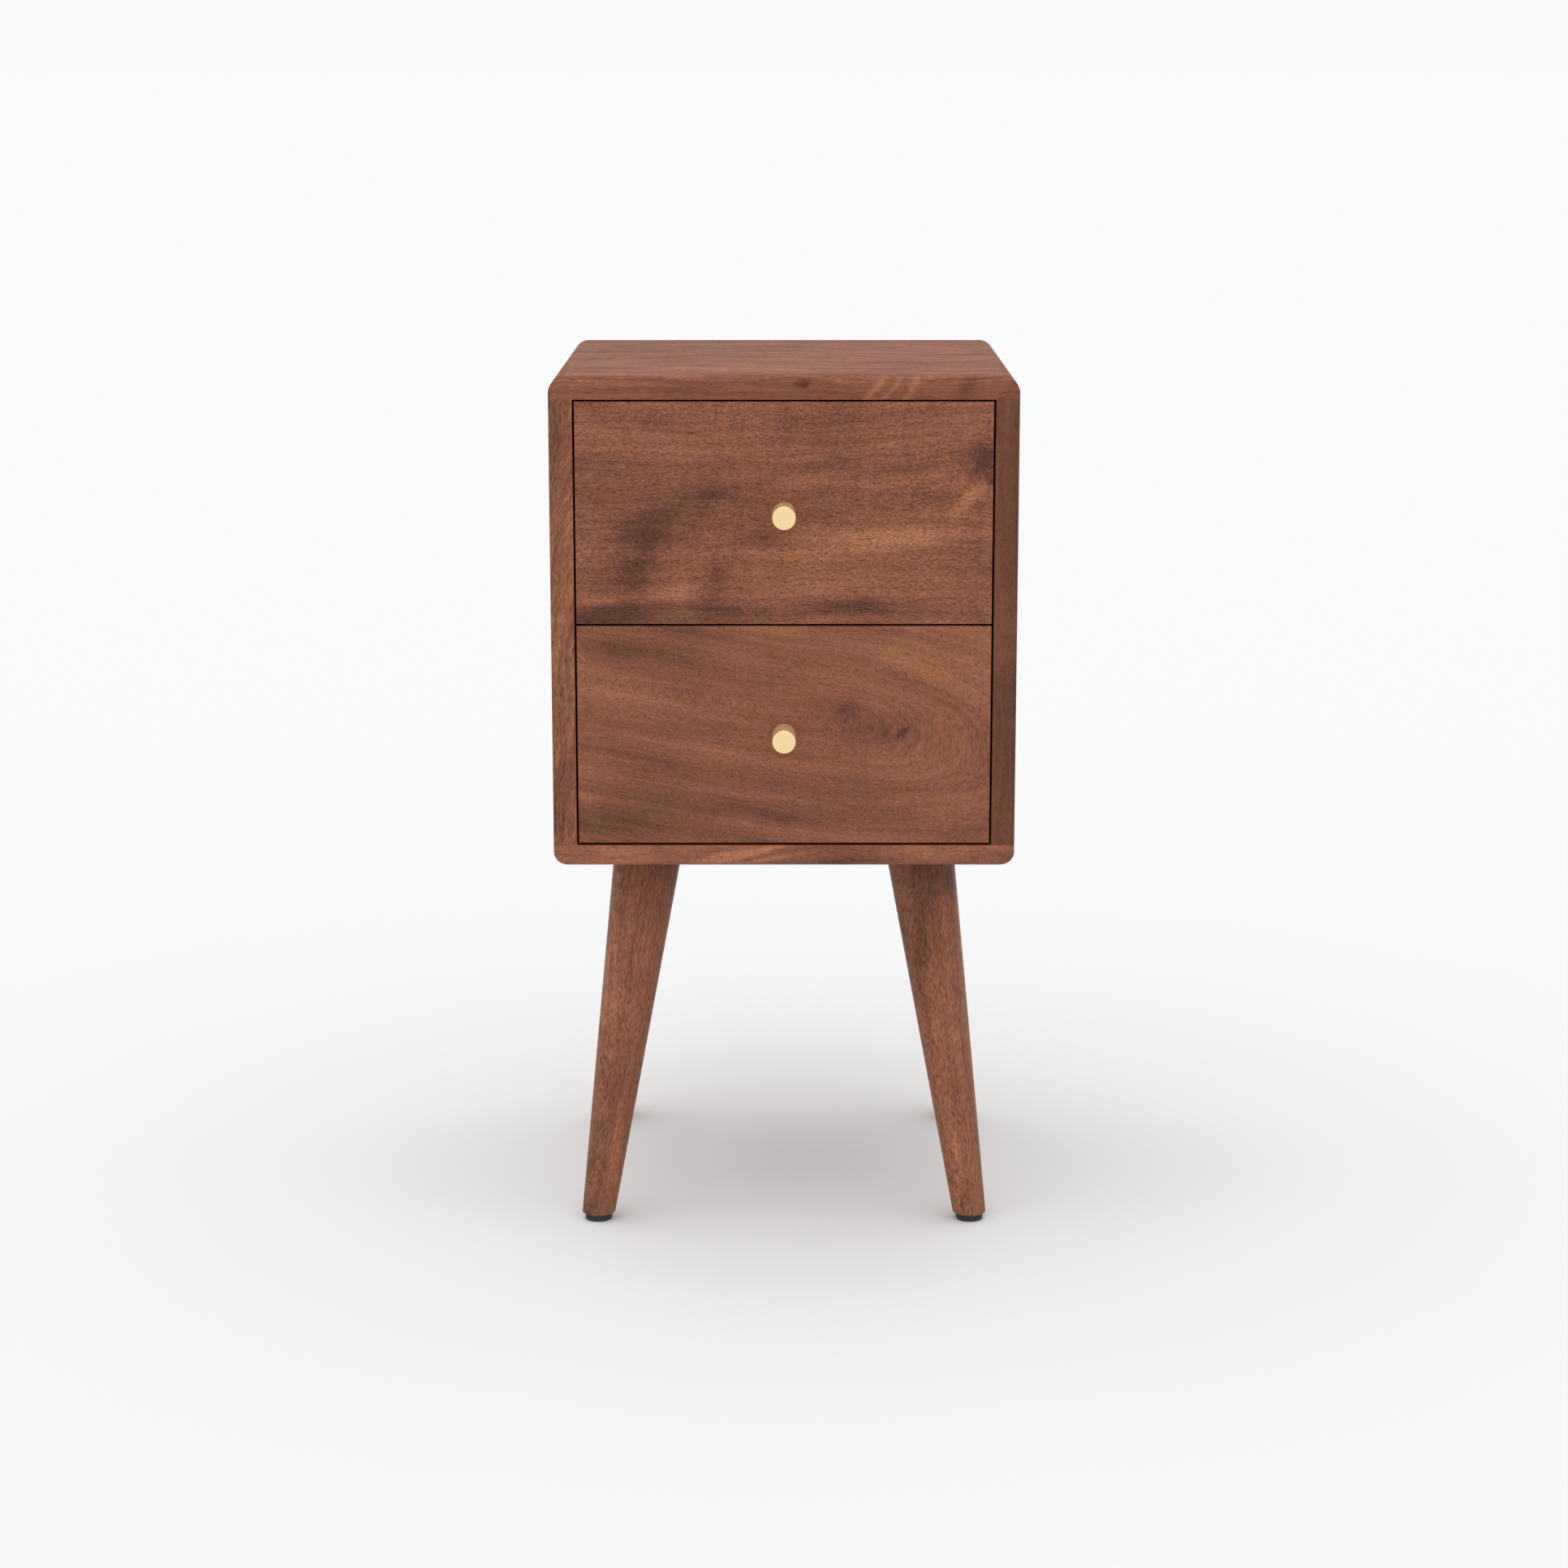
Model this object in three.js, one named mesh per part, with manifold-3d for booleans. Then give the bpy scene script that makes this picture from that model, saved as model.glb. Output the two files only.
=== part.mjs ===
// A two-drawer nightstand: a solid-wood case on four splayed, tapered legs, with two inset
// drawers that run out towards the front on telescopic ball-bearing runners.
//
// Millimetres, +Z up. The origin is on the floor, in the middle of the whole object's width
// and of its depth, knobs included. The drawers face -Y and open along -Y. Left is -X.

import * as THREE from "three";
import { mergeVertices } from "three/addons/utils/BufferGeometryUtils.js";
import Module from "manifold-3d";

const wasm = await Module();
wasm.setup();

// ---- Driving dimensions ----

const CASE_WIDTH = 356;
const CASE_DEPTH = 356;
const CASE_HEIGHT = 380;
const CASE_BOTTOM_Z = 296; // the case's underside above the floor
const BOARD = 18; // thickness of the case boards and the drawer fronts
const CORNER_RADIUS = 13.5; // rounding of the case's four long outer edges

const BACK_THICKNESS = 6;
const BACK_CLEARANCE = 0.5; // round the back panel in its rebate
const REBATE_DEPTH = 8; // along Y
const REBATE_WIDTH = 9; // into the boards' thickness

const DOWEL_DIAMETER = 8;
const DOWEL_LENGTH = 31;
const DOWEL_HOLE_IN_BOARD = 12; // depth of the hole in a top or bottom board
const DOWEL_HOLE_IN_SIDE = 20; // depth of the hole in the end of a side board
const DOWEL_SETBACK = 60; // from the case's front and rear edges

const SEAT_GAP = 0.3; // clearance round a piece seated in another

const GAP_SIDE = 1.5; // between a drawer front and the case at each side
const GAP_TOP = 1.5;
const GAP_MIDDLE = 1.5;
const GAP_BOTTOM = 2;

const BOX_BOARD = 12; // thickness of the drawer box's boards
const BOX_HEIGHT = 130;
const BOX_LENGTH = 310; // along Y, behind the drawer front
const BOX_RAISE = 12; // the box's lower edge above the drawer front's
const BOX_BOTTOM_THICKNESS = 5;
const BOX_BOTTOM_RAISE = 10; // the groove above the box's lower edge
const GROOVE_DEPTH = 5;
const GROOVE_HEIGHT = 5.5;
const TAILS = 4; // dovetails at each corner of a drawer box
const TAIL_ROOT = 14; // width of a tail where it leaves the side
const TAIL_TIP = 19;

const KNOB_DIAMETER = 18;
const KNOB_LENGTH = 29;
const KNOB_CHAMFER = 0.75;
const KNOB_HOLE_DEPTH = 12;
const SCREW_DIAMETER = 4;
const SCREW_LENGTH = 38; // under the head
const SCREW_HEAD_DIAMETER = 9;
const SCREW_HEAD_HEIGHT = 2.5;

const RUNNER_SPACE = 13; // between the case's side and the drawer box
const RUNNER_LENGTH = 300;
const RUNNER_SETBACK = 2; // behind the drawer front's rear face
const STEEL = 1.25; // thickness of the runners' sheet

const LEG_TOP_X = 107.5; // the leg's axis from the case's middle, at the case's underside
const LEG_TOP_Y = 100;
const LEG_SPLAY = THREE.MathUtils.degToRad(8); // outwards, seen from the front and from the side
const LEG_TOP_DIAMETER = 53.5;
const LEG_FOOT_DIAMETER = 26;
const LEG_BORE_DEPTH = 42;

const PLATE_SIZE = 64;
const PLATE_THICKNESS = 2.5;
const PLATE_CORNER = 6;
const PLATE_SCREW_OFFSET = 25.5;
const PLATE_SCREW_HOLE = 4.5;
const BOSS_DIAMETER = 18;
const BOSS_ROOT = 0.5; // how far the boss runs down into the plate
const BOSS_HEIGHT = 8;
const BOSS_POCKET_DIAMETER = 26;
const BOSS_POCKET_DEPTH = 11;
const BOLT_DIAMETER = 8;
const BOLT_ABOVE = 7; // how far the bolt stands above the case's underside
const BOLT_BELOW = 38;

const GLIDE_DIAMETER = 22;
const GLIDE_TAPER = 0.5; // how much the glide's radius loses to its foot
const GLIDE_HEIGHT = 5.25;
const GLIDE_STEM_DIAMETER = 6;
const GLIDE_STEM_LENGTH = 12;

const ROUND_SIDES = 24;
const LEG_SIDES = 40;
const CORNER_STEPS = 10;

// ---- Places that follow from them ----

const FRONT_Y = (KNOB_LENGTH - CASE_DEPTH) / 2; // the case's front edges and the drawers' faces
const REAR_Y = FRONT_Y + CASE_DEPTH;
const MIDDLE_Y = FRONT_Y + CASE_DEPTH / 2;
const CASE_TOP_Z = CASE_BOTTOM_Z + CASE_HEIGHT;
const HALF_WIDTH = CASE_WIDTH / 2;
const HALF_OPENING = HALF_WIDTH - BOARD;
const OPENING_BOTTOM_Z = CASE_BOTTOM_Z + BOARD;
const OPENING_HEIGHT = CASE_HEIGHT - 2 * BOARD;

const FRONT_HEIGHT = (OPENING_HEIGHT - GAP_TOP - GAP_MIDDLE - GAP_BOTTOM) / 2;
const HALF_FRONT = HALF_OPENING - GAP_SIDE;
const HALF_BOX = HALF_OPENING - RUNNER_SPACE;
const LOWER_FRONT_Z = OPENING_BOTTOM_Z + GAP_BOTTOM;
const UPPER_FRONT_Z = LOWER_FRONT_Z + FRONT_HEIGHT + GAP_MIDDLE;

// ---- Finishes ----

const finish = (color, roughness, metalness) =>
  new THREE.MeshStandardMaterial({ color, roughness, metalness });

const CASE_WOOD = finish(0x7d4f3b, 0.55, 0);
const FRONT_WOOD = finish(0x7e4e39, 0.55, 0);
const LEG_WOOD = finish(0x7d503d, 0.55, 0);
const BOX_WOOD = finish(0xb08a62, 0.6, 0);
const PANEL_WOOD = finish(0x6b4936, 0.65, 0);
const DOWEL_WOOD = finish(0xc9a878, 0.7, 0);
const BRASS = finish(0xd9b870, 0.28, 1);
const ZINC = finish(0xa9adb1, 0.35, 1);
const BLACK_PLASTIC = finish(0x1c1c1d, 0.6, 0);

// ---- Solids ----

// A three.js geometry as a manifold-3d solid.
function solidOf(geometry) {
  const bare = geometry.clone();
  bare.deleteAttribute("normal");
  bare.deleteAttribute("uv");
  const merged = mergeVertices(bare, 1e-4);
  const mesh = new wasm.Mesh({
    numProp: 3,
    vertProperties: merged.attributes.position.array,
    triVerts: new Uint32Array(merged.index.array),
  });
  return new wasm.Manifold(mesh);
}

// A manifold-3d solid as a three.js geometry with flat faces.
function geometryOf(solid) {
  const mesh = solid.getMesh();
  const geometry = new THREE.BufferGeometry();
  geometry.setAttribute("position", new THREE.BufferAttribute(mesh.vertProperties, 3));
  geometry.setIndex(new THREE.BufferAttribute(mesh.triVerts, 1));
  const flat = geometry.toNonIndexed();
  flat.computeVertexNormals();
  return flat;
}

// The first geometry with the others cut out of it.
function cut(geometry, ...tools) {
  const left = tools.reduce((solid, tool) => solid.subtract(solidOf(tool)), solidOf(geometry));
  return geometryOf(left);
}

function join(...geometries) {
  return geometryOf(geometries.map(solidOf).reduce((all, next) => all.add(next)));
}

function common(a, b) {
  return geometryOf(solidOf(a).intersect(solidOf(b)));
}

function block(x0, x1, y0, y1, z0, z1) {
  const geometry = new THREE.BoxGeometry(x1 - x0, y1 - y0, z1 - z0);
  return geometry.translate((x0 + x1) / 2, (y0 + y1) / 2, (z0 + z1) / 2);
}

// A cylinder or cone between two points.
function rod(from, to, fromRadius, toRadius = fromRadius, sides = ROUND_SIDES) {
  const along = new THREE.Vector3().subVectors(to, from);
  const geometry = new THREE.CylinderGeometry(toRadius, fromRadius, along.length(), sides);
  const turn = new THREE.Quaternion().setFromUnitVectors(
    new THREE.Vector3(0, 1, 0),
    along.clone().normalize(),
  );
  const middle = new THREE.Vector3().addVectors(from, to).multiplyScalar(0.5);
  return geometry.applyQuaternion(turn).translate(middle.x, middle.y, middle.z);
}

// A round solid from an outline of [radius, height] pairs, turned about a vertical axis.
function turned(outline, sides = ROUND_SIDES) {
  const points = outline.map(([radius, height]) => new THREE.Vector2(radius, height));
  return new THREE.LatheGeometry(points, sides).rotateX(Math.PI / 2);
}

// A flat shape in X and Z, extruded from y0 to y1.
function prismAlongY(shape, y0, y1) {
  const geometry = new THREE.ExtrudeGeometry(shape, {
    depth: y1 - y0,
    bevelEnabled: false,
    curveSegments: CORNER_STEPS,
  });
  return geometry.rotateX(Math.PI / 2).translate(0, y1, 0);
}

// A flat shape in Y and Z, extruded from x0 to x1.
function prismAlongX(shape, x0, x1) {
  const geometry = new THREE.ExtrudeGeometry(shape, { depth: x1 - x0, bevelEnabled: false });
  const turn = new THREE.Matrix4().makeBasis(
    new THREE.Vector3(0, 1, 0),
    new THREE.Vector3(0, 0, 1),
    new THREE.Vector3(1, 0, 0),
  );
  return geometry.applyMatrix4(turn).translate(x0, 0, 0);
}

function outlineOf(pairs) {
  return new THREE.Shape(pairs.map(([x, y]) => new THREE.Vector2(x, y)));
}

function piece(name, geometry, material) {
  const mesh = new THREE.Mesh(geometry, material);
  mesh.name = name;
  return mesh;
}

const vector = (x, y, z) => new THREE.Vector3(x, y, z);

// The four corners of the case, as the parts of a name and the signs of X and Y.
const CORNERS = [
  { name: "front_left", sx: -1, sy: -1 },
  { name: "front_right", sx: 1, sy: -1 },
  { name: "rear_left", sx: -1, sy: 1 },
  { name: "rear_right", sx: 1, sy: 1 },
];

const SIDES = [
  { name: "left", sx: -1 },
  { name: "right", sx: 1 },
];

// ---- Case ----

// Where the dowels stand: X of the side board's middle, Y from the case's edges.
const DOWEL_X = HALF_WIDTH - BOARD / 2;
const DOWEL_Y = CASE_DEPTH / 2 - DOWEL_SETBACK;

// The top board's section: a flat board with its two upper long edges rounded.
function roundedBoardShape() {
  const shape = new THREE.Shape();
  shape.moveTo(-HALF_WIDTH, 0);
  shape.lineTo(HALF_WIDTH, 0);
  shape.lineTo(HALF_WIDTH, BOARD - CORNER_RADIUS);
  shape.absarc(
    HALF_WIDTH - CORNER_RADIUS, BOARD - CORNER_RADIUS, CORNER_RADIUS, 0, Math.PI / 2, false,
  );
  shape.absarc(
    CORNER_RADIUS - HALF_WIDTH, BOARD - CORNER_RADIUS, CORNER_RADIUS, Math.PI / 2, Math.PI, false,
  );
  shape.closePath();
  return shape;
}

function dowelHoles(z0, z1) {
  return CORNERS.map(({ sx, sy }) => {
    const x = sx * DOWEL_X;
    const y = MIDDLE_Y + sy * DOWEL_Y;
    return rod(vector(x, y, z0), vector(x, y, z1), DOWEL_DIAMETER / 2);
  });
}

// A case board that carries the rounded edges, standing on z = 0 with its rounded side up.
function roundedBoard(...tools) {
  const halfRebate = HALF_OPENING + REBATE_WIDTH;
  const rebate = block(-halfRebate, halfRebate, REAR_Y - REBATE_DEPTH, REAR_Y + 1, -1, REBATE_WIDTH);
  const board = prismAlongY(roundedBoardShape(), FRONT_Y, REAR_Y);
  return cut(board, rebate, ...dowelHoles(-1, DOWEL_HOLE_IN_BOARD), ...tools);
}

function topPanel() {
  const panel = piece("top_panel", roundedBoard(), CASE_WOOD);
  panel.position.z = CASE_TOP_Z - BOARD;
  return panel;
}

// The bottom board is the top board upside down, with a pocket over each leg for its boss.
function bottomPanel() {
  const pockets = CORNERS.map(({ sx, sy }) => {
    const x = sx * LEG_TOP_X;
    const y = MIDDLE_Y + sy * LEG_TOP_Y;
    const floor = BOARD - BOSS_POCKET_DEPTH;
    return rod(vector(x, y, floor), vector(x, y, BOARD + 1), BOSS_POCKET_DIAMETER / 2);
  });
  const geometry = roundedBoard(...pockets).rotateY(Math.PI);
  const panel = piece("bottom_panel", geometry, CASE_WOOD);
  panel.position.z = CASE_BOTTOM_Z + BOARD;
  return panel;
}

function sidePanel({ name, sx }) {
  const inner = sx * HALF_OPENING;
  const outer = sx * HALF_WIDTH;
  const board = block(
    Math.min(inner, outer), Math.max(inner, outer), FRONT_Y, REAR_Y, 0, OPENING_HEIGHT,
  );
  const reach = sx * (HALF_OPENING + REBATE_WIDTH);
  const beyond = inner - sx;
  const rebate = block(
    Math.min(beyond, reach), Math.max(beyond, reach),
    REAR_Y - REBATE_DEPTH, REAR_Y + 1, -1, OPENING_HEIGHT + 1,
  );
  const holes = [
    ...dowelHoles(-1, DOWEL_HOLE_IN_SIDE),
    ...dowelHoles(OPENING_HEIGHT - DOWEL_HOLE_IN_SIDE, OPENING_HEIGHT + 1),
  ];
  const panel = piece(`side_panel_${name}`, cut(board, rebate, ...holes), CASE_WOOD);
  panel.position.z = OPENING_BOTTOM_Z;
  return panel;
}

function backPanel() {
  const halfWidth = HALF_OPENING + REBATE_WIDTH - BACK_CLEARANCE;
  const rise = REBATE_WIDTH - BACK_CLEARANCE;
  const panel = piece(
    "back_panel",
    block(-halfWidth, halfWidth, 0, BACK_THICKNESS, -rise, OPENING_HEIGHT + rise),
    PANEL_WOOD,
  );
  panel.position.set(0, REAR_Y - REBATE_DEPTH, OPENING_BOTTOM_Z);
  return panel;
}

// A dowel standing across each joint between a side board and the top or bottom board.
function caseDowels() {
  const levels = [
    { name: "bottom", z: OPENING_BOTTOM_Z - DOWEL_HOLE_IN_BOARD + SEAT_GAP },
    { name: "top", z: CASE_TOP_Z - BOARD + DOWEL_HOLE_IN_BOARD - SEAT_GAP - DOWEL_LENGTH },
  ];
  return levels.flatMap((level) =>
    CORNERS.map(({ name, sx, sy }) => {
      const radius = DOWEL_DIAMETER / 2 - SEAT_GAP;
      const geometry = rod(vector(0, 0, 0), vector(0, 0, DOWEL_LENGTH), radius);
      const dowel = piece(`${level.name}_dowel_${name}`, geometry, DOWEL_WOOD);
      dowel.position.set(sx * DOWEL_X, MIDDLE_Y + sy * DOWEL_Y, level.z);
      return dowel;
    }),
  );
}

// ---- Legs ----
// Each leg's group has its origin where the leg's axis meets the case's underside.

// The unit vector down a leg's axis, and how far it runs for each millimetre of height.
function legAxis({ sx, sy }) {
  const lean = Math.tan(LEG_SPLAY);
  return vector(sx * lean, sy * lean, -1);
}

const SLANT = legAxis({ sx: 1, sy: 1 }).length();

// The point of a leg's axis at height z, which is 0 at the case's underside.
const onAxis = (corner, z) => legAxis(corner).multiplyScalar(-z);

function leg(corner) {
  const top = -PLATE_THICKNESS - SEAT_GAP;
  const foot = GLIDE_HEIGHT + SEAT_GAP - CASE_BOTTOM_Z;
  const growth = (LEG_TOP_DIAMETER - LEG_FOOT_DIAMETER) / 2 / (top - foot);
  const spare = 20;
  const cone = rod(
    onAxis(corner, foot - spare), onAxis(corner, top + spare),
    LEG_FOOT_DIAMETER / 2 - growth * spare, LEG_TOP_DIAMETER / 2 + growth * spare, LEG_SIDES,
  );
  const slab = block(-200, 200, -200, 200, foot, top);
  const bore = rod(
    onAxis(corner, top - LEG_BORE_DEPTH / SLANT), onAxis(corner, top + spare), BOLT_DIAMETER / 2,
  );
  const footPoint = onAxis(corner, foot);
  const socket = rod(
    vector(footPoint.x, footPoint.y, foot - 1),
    vector(footPoint.x, footPoint.y, foot + GLIDE_STEM_LENGTH + 2 * SEAT_GAP),
    GLIDE_STEM_DIAMETER / 2,
  );
  return piece(`leg_${corner.name}`, cut(common(cone, slab), bore, socket), LEG_WOOD);
}

// The steel plate that holds a leg: screwed under the case, with a slanting threaded boss.
function legPlate(corner) {
  const half = PLATE_SIZE / 2;
  const shape = new THREE.Shape();
  shape.moveTo(-half + PLATE_CORNER, -half);
  shape.absarc(half - PLATE_CORNER, -half + PLATE_CORNER, PLATE_CORNER, -Math.PI / 2, 0, false);
  shape.absarc(half - PLATE_CORNER, half - PLATE_CORNER, PLATE_CORNER, 0, Math.PI / 2, false);
  shape.absarc(-half + PLATE_CORNER, half - PLATE_CORNER, PLATE_CORNER, Math.PI / 2, Math.PI, false);
  shape.absarc(
    -half + PLATE_CORNER, -half + PLATE_CORNER, PLATE_CORNER, Math.PI, Math.PI * 1.5, false,
  );
  const plate = new THREE.ExtrudeGeometry(shape, {
    depth: PLATE_THICKNESS,
    bevelEnabled: false,
    curveSegments: 4,
  }).translate(0, 0, -PLATE_THICKNESS);
  const boss = rod(onAxis(corner, -BOSS_ROOT), onAxis(corner, BOSS_HEIGHT), BOSS_DIAMETER / 2);
  const bore = rod(onAxis(corner, -10), onAxis(corner, BOSS_HEIGHT + 5), BOLT_DIAMETER / 2);
  const screwHoles = CORNERS.map(({ sx, sy }) => {
    const x = sx * PLATE_SCREW_OFFSET;
    const y = sy * PLATE_SCREW_OFFSET;
    return rod(vector(x, y, -PLATE_THICKNESS - 1), vector(x, y, 1), PLATE_SCREW_HOLE / 2, undefined, 12);
  });
  const geometry = cut(join(plate, boss), bore, ...screwHoles);
  return piece(`leg_plate_${corner.name}`, geometry, ZINC);
}

function legBolt(corner) {
  const radius = BOLT_DIAMETER / 2 - SEAT_GAP;
  const bolt = rod(onAxis(corner, -BOLT_BELOW), onAxis(corner, BOLT_ABOVE), radius);
  return piece(`leg_bolt_${corner.name}`, bolt, ZINC);
}

function footGlide(corner) {
  const radius = GLIDE_DIAMETER / 2;
  const stem = GLIDE_STEM_DIAMETER / 2 - SEAT_GAP;
  const geometry = turned([
    [0, 0],
    [radius - GLIDE_TAPER, 0],
    [radius, GLIDE_HEIGHT],
    [stem, GLIDE_HEIGHT],
    [stem, GLIDE_HEIGHT + GLIDE_STEM_LENGTH],
    [0, GLIDE_HEIGHT + GLIDE_STEM_LENGTH],
  ]);
  const glide = piece(`foot_glide_${corner.name}`, geometry, BLACK_PLASTIC);
  const foot = onAxis(corner, GLIDE_HEIGHT + SEAT_GAP - CASE_BOTTOM_Z);
  glide.position.set(foot.x, foot.y, -CASE_BOTTOM_Z);
  return glide;
}

function legAssembly(corner) {
  const group = new THREE.Group();
  group.add(leg(corner), legPlate(corner), legBolt(corner), footGlide(corner));
  group.position.set(corner.sx * LEG_TOP_X, MIDDLE_Y + corner.sy * LEG_TOP_Y, CASE_BOTTOM_Z);
  return group;
}

// ---- Runners ----
// Each runner is three nested members. Their sections are given for the right-hand side, as
// distances inwards from the case's side board and heights from the runner's middle.

const RUNNER_SECTIONS = {
  // A channel screwed to the case, open towards the drawer.
  outer: [
    [0, -22.5], [9.5, -22.5], [9.5, -22.5 + STEEL], [STEEL, -22.5 + STEEL],
    [STEEL, 22.5 - STEEL], [9.5, 22.5 - STEEL], [9.5, 22.5], [0, 22.5],
  ],
  // An H that rolls in the outer channel and holds the inner one.
  middle: [
    [2, -18], [11, -18], [11, -18 + STEEL], [6.25 + STEEL, -18 + STEEL],
    [6.25 + STEEL, 18 - STEEL], [11, 18 - STEEL], [11, 18], [2, 18],
    [2, 18 - STEEL], [6.25, 18 - STEEL], [6.25, -18 + STEEL], [2, -18 + STEEL],
  ],
  // A channel screwed to the drawer box, open towards the case.
  inner: [
    [8.25, -13.5], [RUNNER_SPACE, -13.5], [RUNNER_SPACE, 13.5], [8.25, 13.5],
    [8.25, 13.5 - STEEL], [RUNNER_SPACE - STEEL, 13.5 - STEEL],
    [RUNNER_SPACE - STEEL, -13.5 + STEEL], [8.25, -13.5 + STEEL],
  ],
};

const RUNNER_Z = BOX_RAISE + BOX_HEIGHT / 2; // above the drawer front's lower edge
const RUNNER_Y = BOARD + RUNNER_SETBACK; // behind the drawer's face

function runnerMember(drawer, member, { name, sx }) {
  const section = RUNNER_SECTIONS[member].map(([inwards, z]) => [sx * (HALF_OPENING - inwards), z]);
  const geometry = prismAlongY(outlineOf(section), 0, RUNNER_LENGTH);
  const mesh = piece(`${drawer}_runner_${member}_${name}`, geometry, ZINC);
  mesh.position.set(0, RUNNER_Y, RUNNER_Z);
  return mesh;
}

// ---- Drawers ----
// A drawer's group has its origin in the middle of its face's lower edge. Y runs to the back.

const BOX_FRONT_Y = BOARD; // the box's front end, against the drawer front
const BOX_REAR_Y = BOX_FRONT_Y + BOX_LENGTH;
const TAIL_PITCH = BOX_HEIGHT / TAILS;
const KNOB_Z = FRONT_HEIGHT / 2;

// One dovetail, in Y and Z: it leaves the side at root and widens to its tip.
function tailShape(root, tip, z, grow) {
  const rootHalf = TAIL_ROOT / 2 + grow;
  const tipHalf = TAIL_TIP / 2 + grow;
  return outlineOf([[root, z - rootHalf], [tip, z - tipHalf], [tip, z + tipHalf], [root, z + rootHalf]]);
}

const tailHeights = () => Array.from({ length: TAILS }, (_, i) => BOX_RAISE + (i + 0.5) * TAIL_PITCH);

function boxGroove() {
  const reach = HALF_BOX - BOX_BOARD + GROOVE_DEPTH;
  const z = BOX_RAISE + BOX_BOTTOM_RAISE;
  return block(
    -reach, reach, BOX_FRONT_Y + BOX_BOARD - GROOVE_DEPTH, BOX_REAR_Y - BOX_BOARD + GROOVE_DEPTH,
    z, z + GROOVE_HEIGHT,
  );
}

// The hole for the knob's screw, through the drawer front and the box's front board.
function screwHole() {
  return rod(
    vector(0, -1, KNOB_Z), vector(0, BOX_FRONT_Y + BOX_BOARD + 1, KNOB_Z), SCREW_DIAMETER / 2 + SEAT_GAP,
  );
}

function drawerFront(drawer) {
  const board = block(-HALF_FRONT, HALF_FRONT, 0, BOARD, 0, FRONT_HEIGHT);
  return piece(`${drawer}_drawer_front`, cut(board, screwHole()), FRONT_WOOD);
}

// A side of the drawer box, with dovetails at both ends.
function boxSide(drawer, { name, sx }) {
  const faces = [sx * (HALF_BOX - BOX_BOARD), sx * HALF_BOX].sort((a, b) => a - b);
  const plain = block(
    ...faces, BOX_FRONT_Y + BOX_BOARD, BOX_REAR_Y - BOX_BOARD, BOX_RAISE, BOX_RAISE + BOX_HEIGHT,
  );
  const tails = tailHeights().flatMap((z) => [
    prismAlongX(tailShape(BOX_FRONT_Y + BOX_BOARD + 1, BOX_FRONT_Y, z, -SEAT_GAP), ...faces),
    prismAlongX(tailShape(BOX_REAR_Y - BOX_BOARD - 1, BOX_REAR_Y, z, -SEAT_GAP), ...faces),
  ]);
  const groove = boxGroove();
  return piece(`${drawer}_box_side_${name}`, cut(join(plain, ...tails), groove), BOX_WOOD);
}

// The front or rear board of the drawer box, with sockets for the sides' dovetails.
function boxEnd(drawer, end) {
  const isFront = end === "front";
  const outer = isFront ? BOX_FRONT_Y : BOX_REAR_Y;
  const inner = isFront ? BOX_FRONT_Y + BOX_BOARD : BOX_REAR_Y - BOX_BOARD;
  const out = Math.sign(outer - inner);
  const board = block(
    -HALF_BOX, HALF_BOX, Math.min(outer, inner), Math.max(outer, inner),
    BOX_RAISE, BOX_RAISE + BOX_HEIGHT,
  );
  const sockets = tailHeights().flatMap((z) =>
    SIDES.map(({ sx }) => {
      const reach = [sx * (HALF_BOX - BOX_BOARD - SEAT_GAP), sx * (HALF_BOX + 1)].sort((a, b) => a - b);
      return prismAlongX(tailShape(inner - out, outer + out, z, 0), ...reach);
    }),
  );
  // The boards' ends between the sockets stop short of the sides' ends by the seat gap.
  const relief = SIDES.map(({ sx }) => {
    const reach = [sx * (HALF_BOX - BOX_BOARD), sx * (HALF_BOX + 1)].sort((a, b) => a - b);
    const depth = [inner - out, inner + out * SEAT_GAP].sort((a, b) => a - b);
    return block(...reach, ...depth, BOX_RAISE - 1, BOX_RAISE + BOX_HEIGHT + 1);
  });
  const holes = isFront ? [screwHole()] : [];
  const geometry = cut(board, ...sockets, ...relief, boxGroove(), ...holes);
  return piece(`${drawer}_box_${end}`, geometry, BOX_WOOD);
}

function boxBottom(drawer) {
  const fit = GROOVE_DEPTH - SEAT_GAP;
  const halfWidth = HALF_BOX - BOX_BOARD + fit;
  const z = BOX_RAISE + BOX_BOTTOM_RAISE;
  const panel = block(
    -halfWidth, halfWidth,
    BOX_FRONT_Y + BOX_BOARD - fit, BOX_REAR_Y - BOX_BOARD + fit, z, z + BOX_BOTTOM_THICKNESS,
  );
  return piece(`${drawer}_box_bottom`, panel, PANEL_WOOD);
}

function knob(drawer) {
  const radius = KNOB_DIAMETER / 2;
  const hole = SCREW_DIAMETER / 2;
  // Heights run from the drawer's face to the knob's end, with the screw's hole at the face.
  const geometry = turned([
    [hole, 0],
    [radius, 0],
    [radius, KNOB_LENGTH - KNOB_CHAMFER],
    [radius - KNOB_CHAMFER, KNOB_LENGTH],
    [0, KNOB_LENGTH],
    [0, KNOB_HOLE_DEPTH],
    [hole, KNOB_HOLE_DEPTH],
    [hole, 0],
  ], 48).rotateX(Math.PI / 2);
  const mesh = piece(`${drawer}_knob`, geometry, BRASS);
  mesh.position.z = KNOB_Z;
  return mesh;
}

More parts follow.
